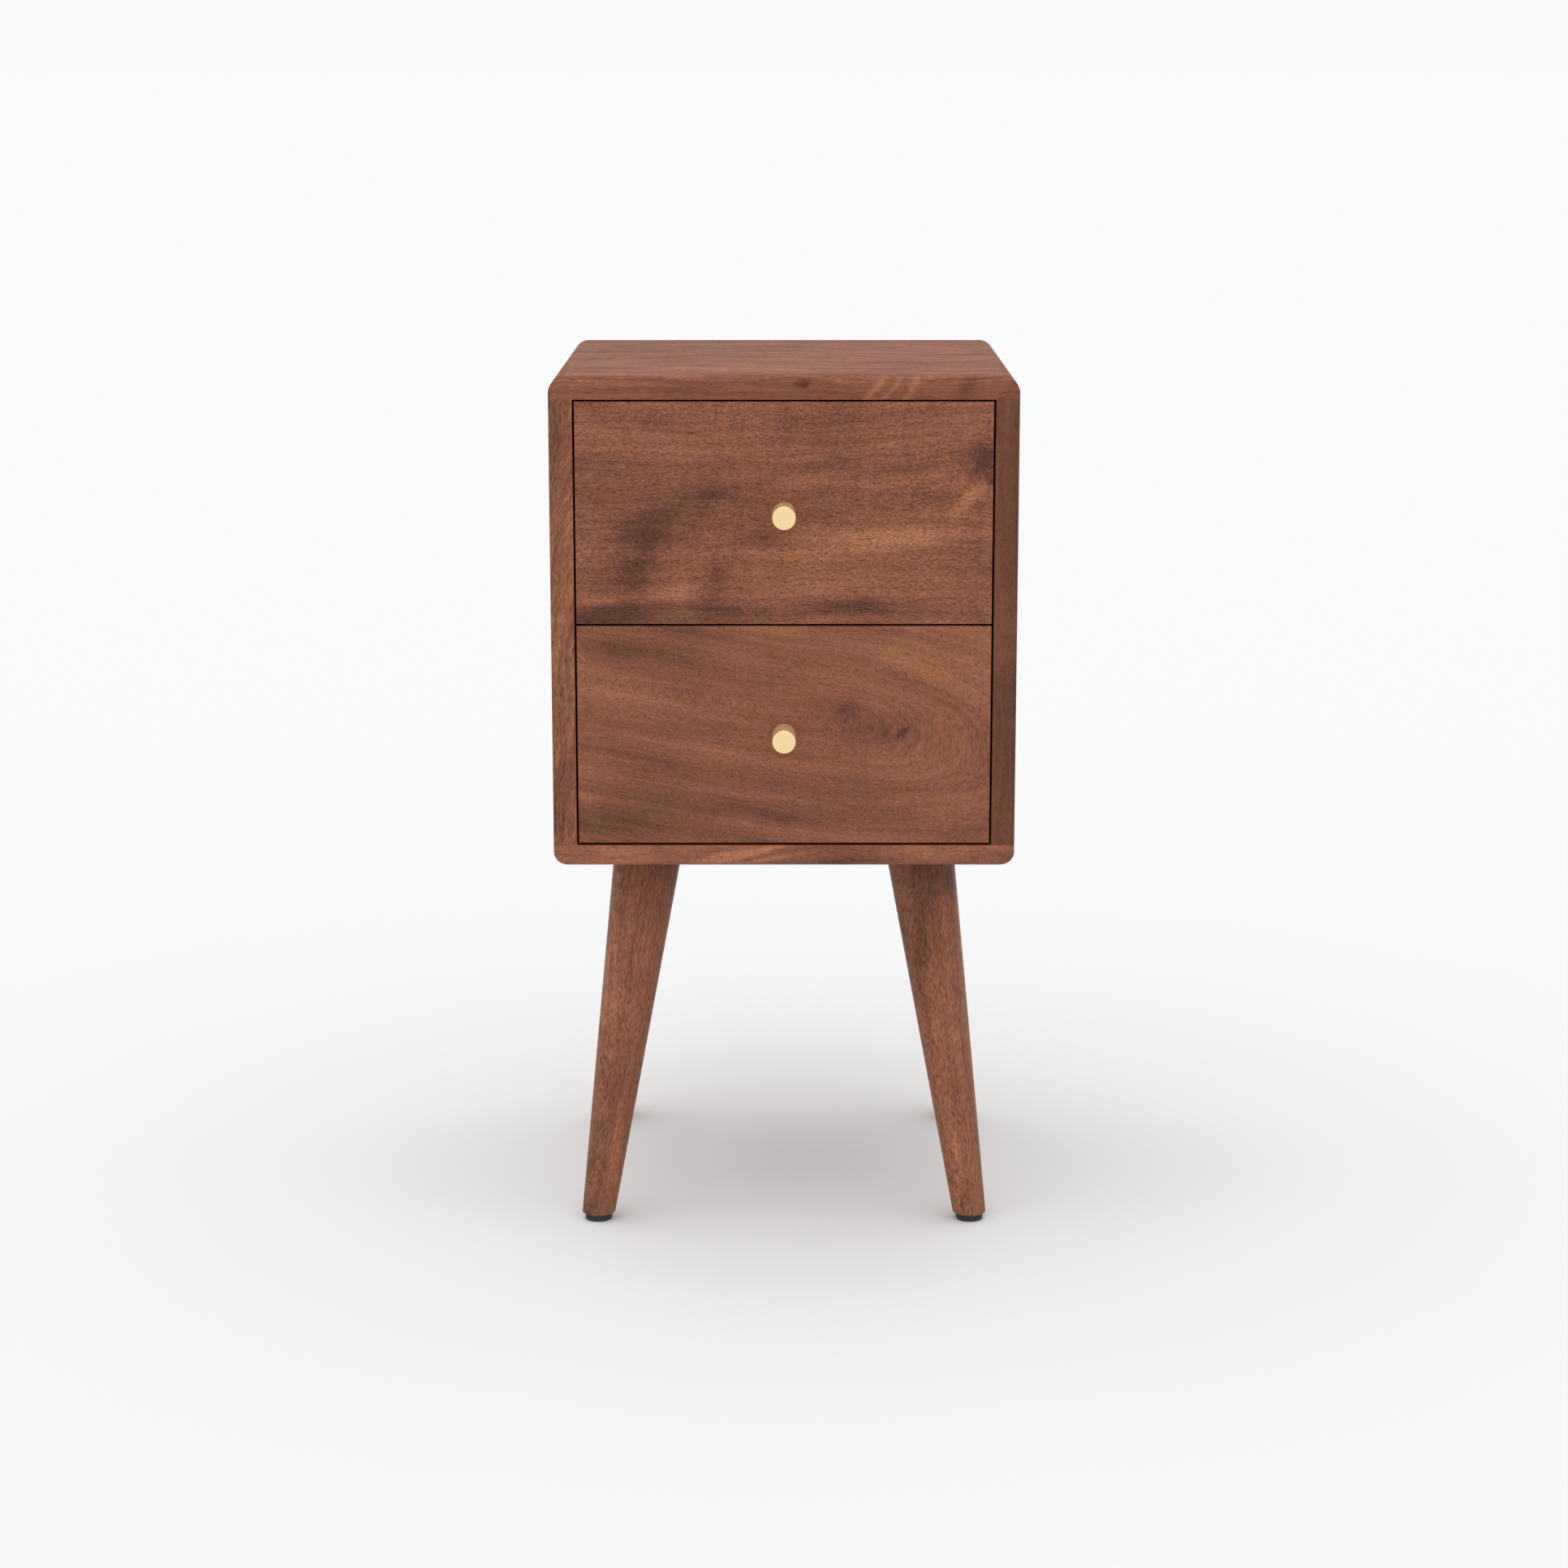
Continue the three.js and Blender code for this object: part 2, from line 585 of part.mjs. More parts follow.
// The machine screw that holds the knob, with its head inside the drawer.
function knobScrew(drawer) {
  const shaft = SCREW_DIAMETER / 2 - SEAT_GAP;
  const head = SCREW_HEAD_DIAMETER / 2;
  const geometry = turned([
    [0, 0],
    [head, 0],
    [head, SCREW_HEAD_HEIGHT / 2],
    [head / 2, SCREW_HEAD_HEIGHT],
    [0, SCREW_HEAD_HEIGHT],
  ]).rotateX(-Math.PI / 2);
  const stem = rod(vector(0, -SCREW_LENGTH, 0), vector(0, SCREW_HEAD_HEIGHT / 2, 0), shaft);
  const mesh = piece(`${drawer}_knob_screw`, join(geometry, stem), ZINC);
  mesh.position.set(0, BOX_FRONT_Y + BOX_BOARD, KNOB_Z);
  return mesh;
}

function drawerAssembly(drawer, frontZ) {
  const group = new THREE.Group();
  group.add(
    drawerFront(drawer), boxEnd(drawer, "front"), boxEnd(drawer, "rear"), boxBottom(drawer),
    knob(drawer), knobScrew(drawer),
  );
  SIDES.forEach((side) => {
    group.add(boxSide(drawer, side));
    Object.keys(RUNNER_SECTIONS).forEach((member) => group.add(runnerMember(drawer, member, side)));
  });
  group.position.set(0, FRONT_Y, frontZ);
  return group;
}

// ---- The whole nightstand ----

const nightstand = new THREE.Group();
nightstand.add(topPanel(), bottomPanel(), ...SIDES.map(sidePanel), backPanel(), ...caseDowels());
CORNERS.forEach((corner) => nightstand.add(legAssembly(corner)));
nightstand.add(drawerAssembly("upper", UPPER_FRONT_Z), drawerAssembly("lower", LOWER_FRONT_Z));

export default nightstand;
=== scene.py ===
"""The looks of a two-drawer nightstand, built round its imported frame.

Everything is in metres, +Z up. The drawers face -Y and run out along -Y on telescopic
runners. Each board, leg, knob and runner is modelled here at the place that the frame
gives it, stands for its plain node there, and rides on the same body.
"""

import logging
import math
from collections.abc import Callable, Sequence
from dataclasses import dataclass, replace
from enum import Enum, StrEnum
from typing import ClassVar

import bpy
from mathutils import Matrix, Vector


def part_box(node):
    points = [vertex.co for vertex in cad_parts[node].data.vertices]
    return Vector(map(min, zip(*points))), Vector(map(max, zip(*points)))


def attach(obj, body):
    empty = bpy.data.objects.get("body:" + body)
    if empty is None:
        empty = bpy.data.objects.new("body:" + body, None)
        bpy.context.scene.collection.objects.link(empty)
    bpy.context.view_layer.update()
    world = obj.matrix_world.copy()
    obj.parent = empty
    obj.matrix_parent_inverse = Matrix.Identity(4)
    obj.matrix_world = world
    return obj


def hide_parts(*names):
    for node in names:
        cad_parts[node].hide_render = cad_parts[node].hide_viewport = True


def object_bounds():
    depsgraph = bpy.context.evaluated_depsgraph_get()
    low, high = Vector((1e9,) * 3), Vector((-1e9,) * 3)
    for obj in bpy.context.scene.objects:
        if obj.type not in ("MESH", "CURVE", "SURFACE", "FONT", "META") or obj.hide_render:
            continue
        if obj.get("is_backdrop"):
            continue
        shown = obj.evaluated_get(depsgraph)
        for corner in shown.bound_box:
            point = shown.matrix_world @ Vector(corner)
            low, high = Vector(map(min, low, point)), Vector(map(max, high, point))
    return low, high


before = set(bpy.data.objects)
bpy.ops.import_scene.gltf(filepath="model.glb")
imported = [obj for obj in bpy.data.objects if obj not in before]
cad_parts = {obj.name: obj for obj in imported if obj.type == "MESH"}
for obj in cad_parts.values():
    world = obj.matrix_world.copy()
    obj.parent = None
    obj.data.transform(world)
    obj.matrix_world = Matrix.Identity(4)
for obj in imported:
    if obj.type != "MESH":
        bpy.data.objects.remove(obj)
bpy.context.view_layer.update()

LOG = logging.getLogger("nightstand")
MM = 0.001
NEAR = 1e-5  # two places closer than this are the same place
UP, DOWN = Vector((0, 0, 1)), Vector((0, 0, -1))
REARWARDS = Vector((0, 1, 0))

Colour = tuple[float, float, float]
PointTest = Callable[[Vector], bool]


def at(value: float, wanted: float) -> bool:
    """Whether a coordinate is at a wanted place."""
    return abs(value - wanted) < NEAR


def middle(node: str) -> Vector:
    """The middle of a frame node's box."""
    return sum(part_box(node), Vector()) / 2


def under(node: str) -> Vector:
    """The middle of the underside of a frame node's box."""
    return middle(node).xy.to_3d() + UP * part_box(node)[0].z


# ---- Modelling ----


class Part(StrEnum):
    """What can be picked out on a mesh."""

    EDGE = "EDGE"
    FACE = "FACE"


class Bench:
    """The workbench: every method is one step of modelling with the mesh operators."""

    patterns: ClassVar[dict[str, bpy.types.Object]] = {}

    @staticmethod
    def alone(piece: bpy.types.Object) -> None:
        """Makes a piece the only selected one, and the active one.

        Args:
            piece: The piece to work on.
        """
        bpy.ops.object.select_all(action="DESELECT")
        piece.select_set(True)
        bpy.context.view_layer.objects.active = piece

    @staticmethod
    def edit(piece: bpy.types.Object) -> None:
        """Opens a piece in edit mode with all of it selected.

        Args:
            piece: The piece to work on.
        """
        Bench.alone(piece)
        bpy.ops.object.mode_set(mode="EDIT")
        bpy.ops.mesh.select_all(action="SELECT")

    @staticmethod
    def settle(name: str) -> bpy.types.Object:
        """Names the primitive just added and moves its place and size into its mesh.

        Args:
            name: What the piece is called.

        Returns:
            The piece, with its object at the origin.
        """
        piece = bpy.context.view_layer.objects.active
        piece.name = piece.data.name = name
        bpy.ops.object.transform_apply(location=True, rotation=True, scale=True)
        return piece

    @staticmethod
    def block(name: str, low: Vector, high: Vector) -> bpy.types.Object:
        """Adds a squared block between two corners.

        Args:
            name: What the piece is called.
            low: Its lowest corner.
            high: Its highest corner.

        Returns:
            The block.
        """
        bpy.ops.object.select_all(action="DESELECT")
        bpy.ops.mesh.primitive_cube_add(size=1, location=(low + high) / 2, scale=high - low)
        return Bench.settle(name)

    @staticmethod
    def rod(
        name: str, start: Vector, end: Vector, radius: float,
        end_radius: float | None = None, sides: int = 48,
    ) -> bpy.types.Object:
        """Adds a round rod, or a taper, between two points.

        Args:
            name: What the piece is called.
            start: The middle of its first end.
            end: The middle of its other end.
            radius: Its radius at the start.
            end_radius: Its radius at the end, if it tapers.
            sides: How many sides its section has.

        Returns:
            The rod.
        """
        along = end - start
        bpy.ops.object.select_all(action="DESELECT")
        bpy.ops.mesh.primitive_cone_add(
            vertices=sides, radius1=radius,
            radius2=radius if end_radius is None else end_radius,
            depth=along.length, location=(start + end) / 2,
            rotation=along.to_track_quat("Z", "Y").to_euler(),
        )
        return Bench.settle(name)

    @staticmethod
    def from_frame(
        name: str, node: str, easing: float, sharper_than: float,
    ) -> bpy.types.Object:
        """Works up a copy of a frame node: merges its triangles and eases its edges.

        Args:
            name: What the piece is called.
            node: The frame node to copy.
            easing: The easing's width.
            sharper_than: The angle in degrees past which an edge is eased.

        Returns:
            The piece, polished.
        """
        piece = bpy.data.objects.new(name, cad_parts[node].data.copy())
        piece.data.name = name
        bpy.context.scene.collection.objects.link(piece)
        Bench.edit(piece)
        bpy.ops.mesh.remove_doubles(threshold=NEAR)
        bpy.ops.mesh.dissolve_limited(angle_limit=math.radians(1))
        Bench.done()
        return Bench.polish(Bench.ease(piece, easing, sharper_than=sharper_than))

    @staticmethod
    def select(piece: bpy.types.Object, test: PointTest, kind: Part = Part.EDGE) -> int:
        """Selects, in edit mode, the edges or faces whose corners all pass a test.

        Args:
            piece: The piece to work on.
            test: Says of a corner's place whether it counts.
            kind: What is selected.

        Returns:
            How many were selected.
        """
        Bench.alone(piece)
        mesh = piece.data
        edges = kind is Part.EDGE
        bpy.context.tool_settings.mesh_select_mode = (False, edges, not edges)
        for part in (*mesh.vertices, *mesh.edges, *mesh.polygons):
            part.select = False
        passed = [test(corner.co) for corner in mesh.vertices]
        found = 0
        for part in mesh.edges if edges else mesh.polygons:
            part.select = all(passed[i] for i in part.vertices)
            found += part.select
        bpy.ops.object.mode_set(mode="EDIT")
        return found

    @staticmethod
    def done() -> None:
        """Leaves edit mode."""
        bpy.ops.object.mode_set(mode="OBJECT")

    @staticmethod
    def round_edges(
        piece: bpy.types.Object, width: float, segments: int, test: PointTest,
    ) -> None:
        """Rounds the edges whose two ends pass a test.

        Args:
            piece: The piece to work on.
            width: The rounding's width.
            segments: How many steps it has.
            test: Says of an edge's end whether it counts.
        """
        if Bench.select(piece, test):
            bpy.ops.mesh.bevel(offset=width, segments=segments, affect="EDGES")
        Bench.done()

    @staticmethod
    def sink(
        piece: bpy.types.Object, test: PointTest, border: float, depth: Vector,
    ) -> None:
        """Insets the faces that pass a test and pushes their middle in or out.

        Args:
            piece: The piece to work on.
            test: Says of a face's corner whether it counts.
            border: How wide the rim left round them is.
            depth: How far their middle is moved.
        """
        if Bench.select(piece, test, Part.FACE):
            bpy.ops.mesh.inset(thickness=border)
            bpy.ops.mesh.extrude_region_move(TRANSFORM_OT_translate={"value": depth})
        Bench.done()

    @staticmethod
    def carve(piece: bpy.types.Object, *cutters: bpy.types.Object) -> bpy.types.Object:
        """Cuts other pieces out of a piece, and throws them away.

        Args:
            piece: The piece to cut.
            cutters: What is cut out of it.

        Returns:
            The same piece.
        """
        for cutter in cutters:
            Bench.alone(piece)
            cut = piece.modifiers.new("cut", "BOOLEAN")
            cut.operation = "DIFFERENCE"
            cut.solver = "EXACT"
            cut.object = cutter
            bpy.ops.object.modifier_apply(modifier=cut.name)
            bpy.data.objects.remove(cutter)
        return piece

    @staticmethod
    def ease(
        piece: bpy.types.Object, width: float, segments: int = 2, sharper_than: float = 40,
    ) -> bpy.types.Object:
        """Eases every edge sharper than an angle.

        Args:
            piece: The piece to work on.
            width: The easing's width.
            segments: How many steps it has.
            sharper_than: The angle in degrees.

        Returns:
            The same piece.
        """
        Bench.alone(piece)
        bevel = piece.modifiers.new("ease", "BEVEL")
        bevel.width = width
        bevel.segments = segments
        bevel.limit_method = "ANGLE"
        bevel.angle_limit = math.radians(sharper_than)
        bpy.ops.object.modifier_apply(modifier=bevel.name)
        return piece

    @staticmethod
    def join(name: str, pieces: Sequence[bpy.types.Object]) -> bpy.types.Object:
        """Joins pieces into one.

        Args:
            name: What the joined piece is called.
            pieces: The pieces to join.

        Returns:
            The joined piece.
        """
        Bench.alone(pieces[0])
        for piece in pieces:
            piece.select_set(True)
        bpy.ops.object.join()
        pieces[0].name = pieces[0].data.name = name
        return pieces[0]

    @staticmethod
    def copy(
        name: str, kind: str, model: Callable[[], bpy.types.Object], place: Matrix,
    ) -> bpy.types.Object:
        """Copies a piece that repeats to a place, with a mesh of its own.

        Args:
            name: What the copy is called.
            kind: The kind of piece; the first of its kind is modelled.
            model: Models the kind's pattern at the origin.
            place: Where the copy goes.

        Returns:
            The copy, with its object at the origin.
        """
        if kind not in Bench.patterns:
            Bench.patterns[kind] = model()
        piece = bpy.data.objects.new(name, Bench.patterns[kind].data.copy())
        piece.data.name = name
        piece.data.transform(place)
        bpy.context.scene.collection.objects.link(piece)
        return piece

    @staticmethod
    def clear() -> None:
        """Throws the patterns away once every copy is made."""
        for pattern in Bench.patterns.values():
            bpy.data.objects.remove(pattern)
        Bench.patterns.clear()

    @staticmethod
    def polish(piece: bpy.types.Object, angle: float = 42) -> bpy.types.Object:
        """Shades a piece smooth across its easings, with its flat faces kept flat.

        Args:
            piece: The piece to work on.
            angle: The angle in degrees past which an edge stays sharp.

        Returns:
            The same piece.
        """
        Bench.alone(piece)
        bpy.ops.object.shade_smooth_by_angle(angle=math.radians(angle))
        weigh = piece.modifiers.new("weigh", "WEIGHTED_NORMAL")
        weigh.keep_sharp = True
        bpy.ops.object.modifier_apply(modifier=weigh.name)
        return piece


# ---- Shader maths ----


class Value:
    """A number in a node tree, with Python's operators as its Math nodes."""

    def __init__(self, recipe: "Recipe", socket: bpy.types.NodeSocket) -> None:
        """Wraps a socket of a recipe's tree."""
        self.recipe = recipe
        self.socket = socket

    def maths(self, operation: str, *others: "Value | float") -> "Value":
        """Adds a Math node with this value as its first input."""
        return self.recipe.maths(operation, self, *others)

    def __add__(self, other: "Value | float") -> "Value":
        """Adds."""
        return self.maths("ADD", other)

    def __radd__(self, other: float) -> "Value":
        """Adds to a number."""
        return self.maths("ADD", other)

    def __sub__(self, other: "Value | float") -> "Value":
        """Subtracts."""
        return self.maths("SUBTRACT", other)

    def __rsub__(self, other: float) -> "Value":
        """Subtracts from a number."""
        return self.recipe.maths("SUBTRACT", other, self)

    def __mul__(self, other: "Value | float") -> "Value":
        """Multiplies."""
        return self.maths("MULTIPLY", other)

    def __rmul__(self, other: float) -> "Value":
        """Multiplies a number."""
        return self.maths("MULTIPLY", other)

    def __truediv__(self, other: "Value | float") -> "Value":
        """Divides."""
        return self.maths("DIVIDE", other)

    def __rtruediv__(self, other: float) -> "Value":
        """Divides a number."""
        return self.recipe.maths("DIVIDE", other, self)

    def __neg__(self) -> "Value":
        """Turns the sign."""
        return self.maths("MULTIPLY", -1.0)

    def root(self) -> "Value":
        """The square root."""
        return self.maths("SQRT")

    def bell(self) -> "Value":
        """1 where this is 0, falling smoothly to 0 as it grows."""
        return self.recipe.maths("POWER", math.e, -self)

    def between(self, low: float, high: float) -> "Value":
        """0 below low, 1 above high, and a smooth step in between.

        Args:
            low: Where the step starts.
            high: Where it ends.

        Returns:
            The step.
        """
        step = self.recipe.add(
            "ShaderNodeMapRange", {"interpolation_type": "SMOOTHSTEP"},
            {"Value": self, "From Min": low, "From Max": high},
        )
        return Value(self.recipe, step.outputs[0])


@dataclass(frozen=True)
class Layer:
    """A layer of smooth noise."""

    cells: tuple[float, float, float]  # its cells in each millimetre along each coordinate
    detail: float = 1.0  # how many finer layers it has
    roughness: float = 0.5  # how strong they are
    shift: tuple[float, float, float] = (0.0, 0.0, 0.0)  # in cells


class Recipe:
    """A finish's node tree."""

    def __init__(self, name: str) -> None:
        """Starts a material with one shader.

        Args:
            name: The material's name.
        """
        self.material = bpy.data.materials.new(name)
        self.material.use_nodes = True
        self.tree = self.material.node_tree
        self.shader = self.tree.nodes["Principled BSDF"]

    def add(
        self, kind: str, settings: dict | None = None, inputs: dict | None = None,
    ) -> bpy.types.Node:
        """Adds a node.

        Args:
            kind: The node's type.
            settings: Its properties, set first; "stops" are a colour ramp's stops.
            inputs: Values or links for its sockets, by name or number.

        Returns:
            The node.
        """
        node = self.tree.nodes.new(kind)
        for key, value in (settings or {}).items():
            if key == "stops":
                ramp = node.color_ramp.elements
                while len(ramp) < len(value):
                    ramp.new(1.0)
                for element, (place, colour) in zip(ramp, value):
                    element.position = place
                    element.color = (*colour, 1.0)
            else:
                setattr(node, key, value)
        for key, value in (inputs or {}).items():
            self.feed(node.inputs[key], value)
        return node

    def feed(self, socket: bpy.types.NodeSocket, value: object) -> None:
        """Links or sets a socket.

        Args:
            socket: The socket to feed.
            value: A Value, another node's output, or a plain value.
        """
        if isinstance(value, Value):
            value = value.socket
        if isinstance(value, bpy.types.NodeSocket):
            self.tree.links.new(value, socket)
        else:
            socket.default_value = value

    def maths(self, operation: str, *terms: Value | float) -> Value:
        """Adds a Math node."""
        node = self.add("ShaderNodeMath", {"operation": operation}, dict(enumerate(terms)))
        return Value(self, node.outputs[0])

    def vector_maths(self, operation: str, *terms: object) -> bpy.types.Node:
        """Adds a Vector Math node."""
        return self.add("ShaderNodeVectorMath", {"operation": operation}, dict(enumerate(terms)))

    def place(self, origin: Vector) -> tuple[Value, Value, Value]:
        """Reads the piece's own coordinates in millimetres.

        Args:
            origin: The pattern's origin in the frame, in metres.

        Returns:
            The three coordinates.
        """
        mapped = self.add(
            "ShaderNodeMapping", {"vector_type": "POINT"},
            {
                "Vector": self.add("ShaderNodeTexCoord").outputs["Object"],
                "Location": origin * (-1 / MM),
                "Scale": (1 / MM,) * 3,
            },
        )
        split = self.add("ShaderNodeSeparateXYZ", None, {0: mapped.outputs[0]})
        return tuple(Value(self, out) for out in split.outputs)

    def noise(self, layer: Layer, x: Value, y: Value, z: Value) -> Value:
        """Reads a layer of noise at a point.

        Args:
            layer: The layer.
            x: The point's first coordinate, in millimetres.
            y: Its second.
            z: Its third.

        Returns:
            The noise, from -0.5 to 0.5.
        """
        point = self.add("ShaderNodeCombineXYZ", None, {0: x, 1: y, 2: z}).outputs[0]
        spot = self.vector_maths("MULTIPLY_ADD", point, layer.cells, layer.shift).outputs[0]
        node = self.add(
            "ShaderNodeTexNoise", None,
            {
                "Vector": spot, "Scale": 1.0,
                "Detail": layer.detail, "Roughness": layer.roughness,
            },
        )
        return Value(self, node.outputs[0]) - 0.5

    def ramp(self, value: Value, stops: Sequence[tuple[float, Colour]]) -> bpy.types.NodeSocket:
        """Turns a number into a colour."""
        return self.add("ShaderNodeValToRGB", {"stops": stops}, {0: value}).outputs[0]

    def blend(self, share: Value, first: Colour, second: Colour) -> bpy.types.NodeSocket:
        """Blends two colours.

        Args:
            share: How much of the second there is, from 0 to 1.
            first: The first colour.
            second: The second colour.

        Returns:
            The blended colour.
        """
        inputs = {0: share, 6: (*first, 1.0), 7: (*second, 1.0)}  # 6 and 7 take the colours
        return self.add("ShaderNodeMix", {"data_type": "RGBA"}, inputs).outputs[2]

    def shade(self, colour: bpy.types.NodeSocket, by: Value) -> bpy.types.NodeSocket:
        """Makes a colour lighter or darker."""
        scale = {0: colour, "Scale": by}
        return self.add("ShaderNodeVectorMath", {"operation": "SCALE"}, scale).outputs[0]

    def bump(self, height: Value, depth: float) -> None:
        """Feeds the shader's normal from a height.

        Args:
            height: The height's pattern.
            depth: The height of 1, in metres.
        """
        node = self.add(
            "ShaderNodeBump", None, {"Strength": 1.0, "Distance": depth, "Height": height},
        )
        self.set(Normal=node.outputs[0])

    def set(self, **sockets: object) -> None:
        """Feeds the shader's sockets, with underscores for the spaces in their names."""
        for name, value in sockets.items():
            self.feed(self.shader.inputs[name.replace("_", " ")], value)


# ---- Finishes ----


class Grain(Enum):
    """Which way the grain runs: the frame's axes in the order along, across and through."""

    ACROSS = ((1, 0, 0), (0, 0, 1), (0, 1, 0))
    UPRIGHT = ((0, 0, 1), (1, 0, 0), (0, 1, 0))
    DEEP = ((0, 1, 0), (0, 0, 1), (1, 0, 0))

    def turn(self) -> Matrix:
        """The rotation or mirroring that brings the frame's axes to the pattern's."""
        return Matrix(self.value)


@dataclass(frozen=True)
class Mark:
    """A knot, a smoky patch or a light streak in a board, or painted shade on a leg's top, in
    millimetres from its middle.

    Along is with the grain, across is over it in the board's face, and through is into it.
    """

    along: float
    across: float
    long: float
    wide: float
    tilt: float = 0.0  # degrees from the grain
    tone: float = 0.0  # how much lighter it is at its middle
    swirl: float = 0.0  # how strongly the grain parts round it
    through: float = 0.0
    deep: float = 0.0  # its reach through the board; 0 is all the way


@dataclass(frozen=True)
class Tones:
    """The colours of a kind of wood, from its dark streaks to its light ones."""

    dark: Colour
    middle: Colour
    light: Colour

    def stops(self) -> tuple[tuple[float, Colour], ...]:
        """The colours with the tones they stand for."""
        return ((0.05, self.dark), (0.5, self.middle), (0.95, self.light))


@dataclass(frozen=True)
class Eye:
    """Where a board's grain closes in long ovals, in millimetres from its middle."""

    along: float
    across: float
    reach: float  # how far before its middle the grain starts to close
    closing: float  # how quickly it closes past that
    softness: float = 30.0  # how gradually it starts to
    blunt: float = 12.0  # how round the inmost oval is


@dataclass(frozen=True)
class Spot:
    """A place in a board, in millimetres, and how the grain wanders there."""

    along: Value
    across: Value
    through: Value
    bend: Value  # the grain's slow wander
    drift: Value  # its quicker one


# The layers of a wood's figure, along, across and through the board.
BEND = Layer((0.006, 0.014, 0.014))
DRIFT = Layer((0.022, 0.045, 0.045))
WAVER = Layer((0.11, 0.17, 0.17))
BROAD = Layer((0.004, 0.075, 0.02), 2.0)
STREAK = Layer((0.014, 0.36, 0.1), 3.0, 0.6)
FIBRE = Layer((1.0, 0.88, 0.9), 2.5, 0.66)
PORE = Layer((0.42, 0.80, 0.8), shift=(9.0, 0.0, 0.0))
RIPPLE = Layer((0.10, 0.035, 0.03), shift=(0.0, 0.0, 7.0))
CLOUD = Layer((0.013, 0.022, 0.02), 2.0)

SEED_STEP = 37.0  # millimetres along the grain from one seed's wood to the next's
SLANT = 0.14  # how far the fibres' layers rise for each millimetre across
BEND_SWAY, DRIFT_SWAY = 2.0, 0.6  # how far each wander takes the grain, times its sway
BEND_MARK, DRIFT_MARK = 0.8, 0.5  # how far each takes a mark's outline, times its size
SWIRL_CORE = 0.6  # keeps a swirl's middle from being drawn to a point
END_CALM, END_DARK = 0.6, 0.14  # how much quieter and darker the end grain is
FRONT_REACH = 4.0  # how far a calm front edge reaches into the board, in millimetres
PORE_RIM, PORE_HEART = 0.02, 0.20  # the noise where a pore starts and where it is open
PORE_DARK, PORE_DULL = 0.5, 0.15  # how much darker and rougher an open pore is
LIFT, DARKEST = 1.03, 0.3  # the fibres' mean and least brightness
FIBRE_RELIEF = 0.6  # how far the fibres stand up, as a share of the pores' depth
WOOD_RELIEF = 0.05 * MM

RED_BROWN = Tones((0.100, 0.038, 0.021), (0.226, 0.084, 0.041), (0.368, 0.147, 0.070))
DUSKY_BROWN = Tones((0.070, 0.027, 0.015), (0.150, 0.055, 0.027), (0.250, 0.098, 0.050))
PALE = Tones((0.330, 0.190, 0.098), (0.480, 0.295, 0.158), (0.600, 0.395, 0.230))
VENEER = Tones((0.110, 0.055, 0.034), (0.165, 0.085, 0.052), (0.230, 0.122, 0.075))
BEECH = Tones((0.420, 0.270, 0.150), (0.560, 0.380, 0.220), (0.660, 0.470, 0.290))


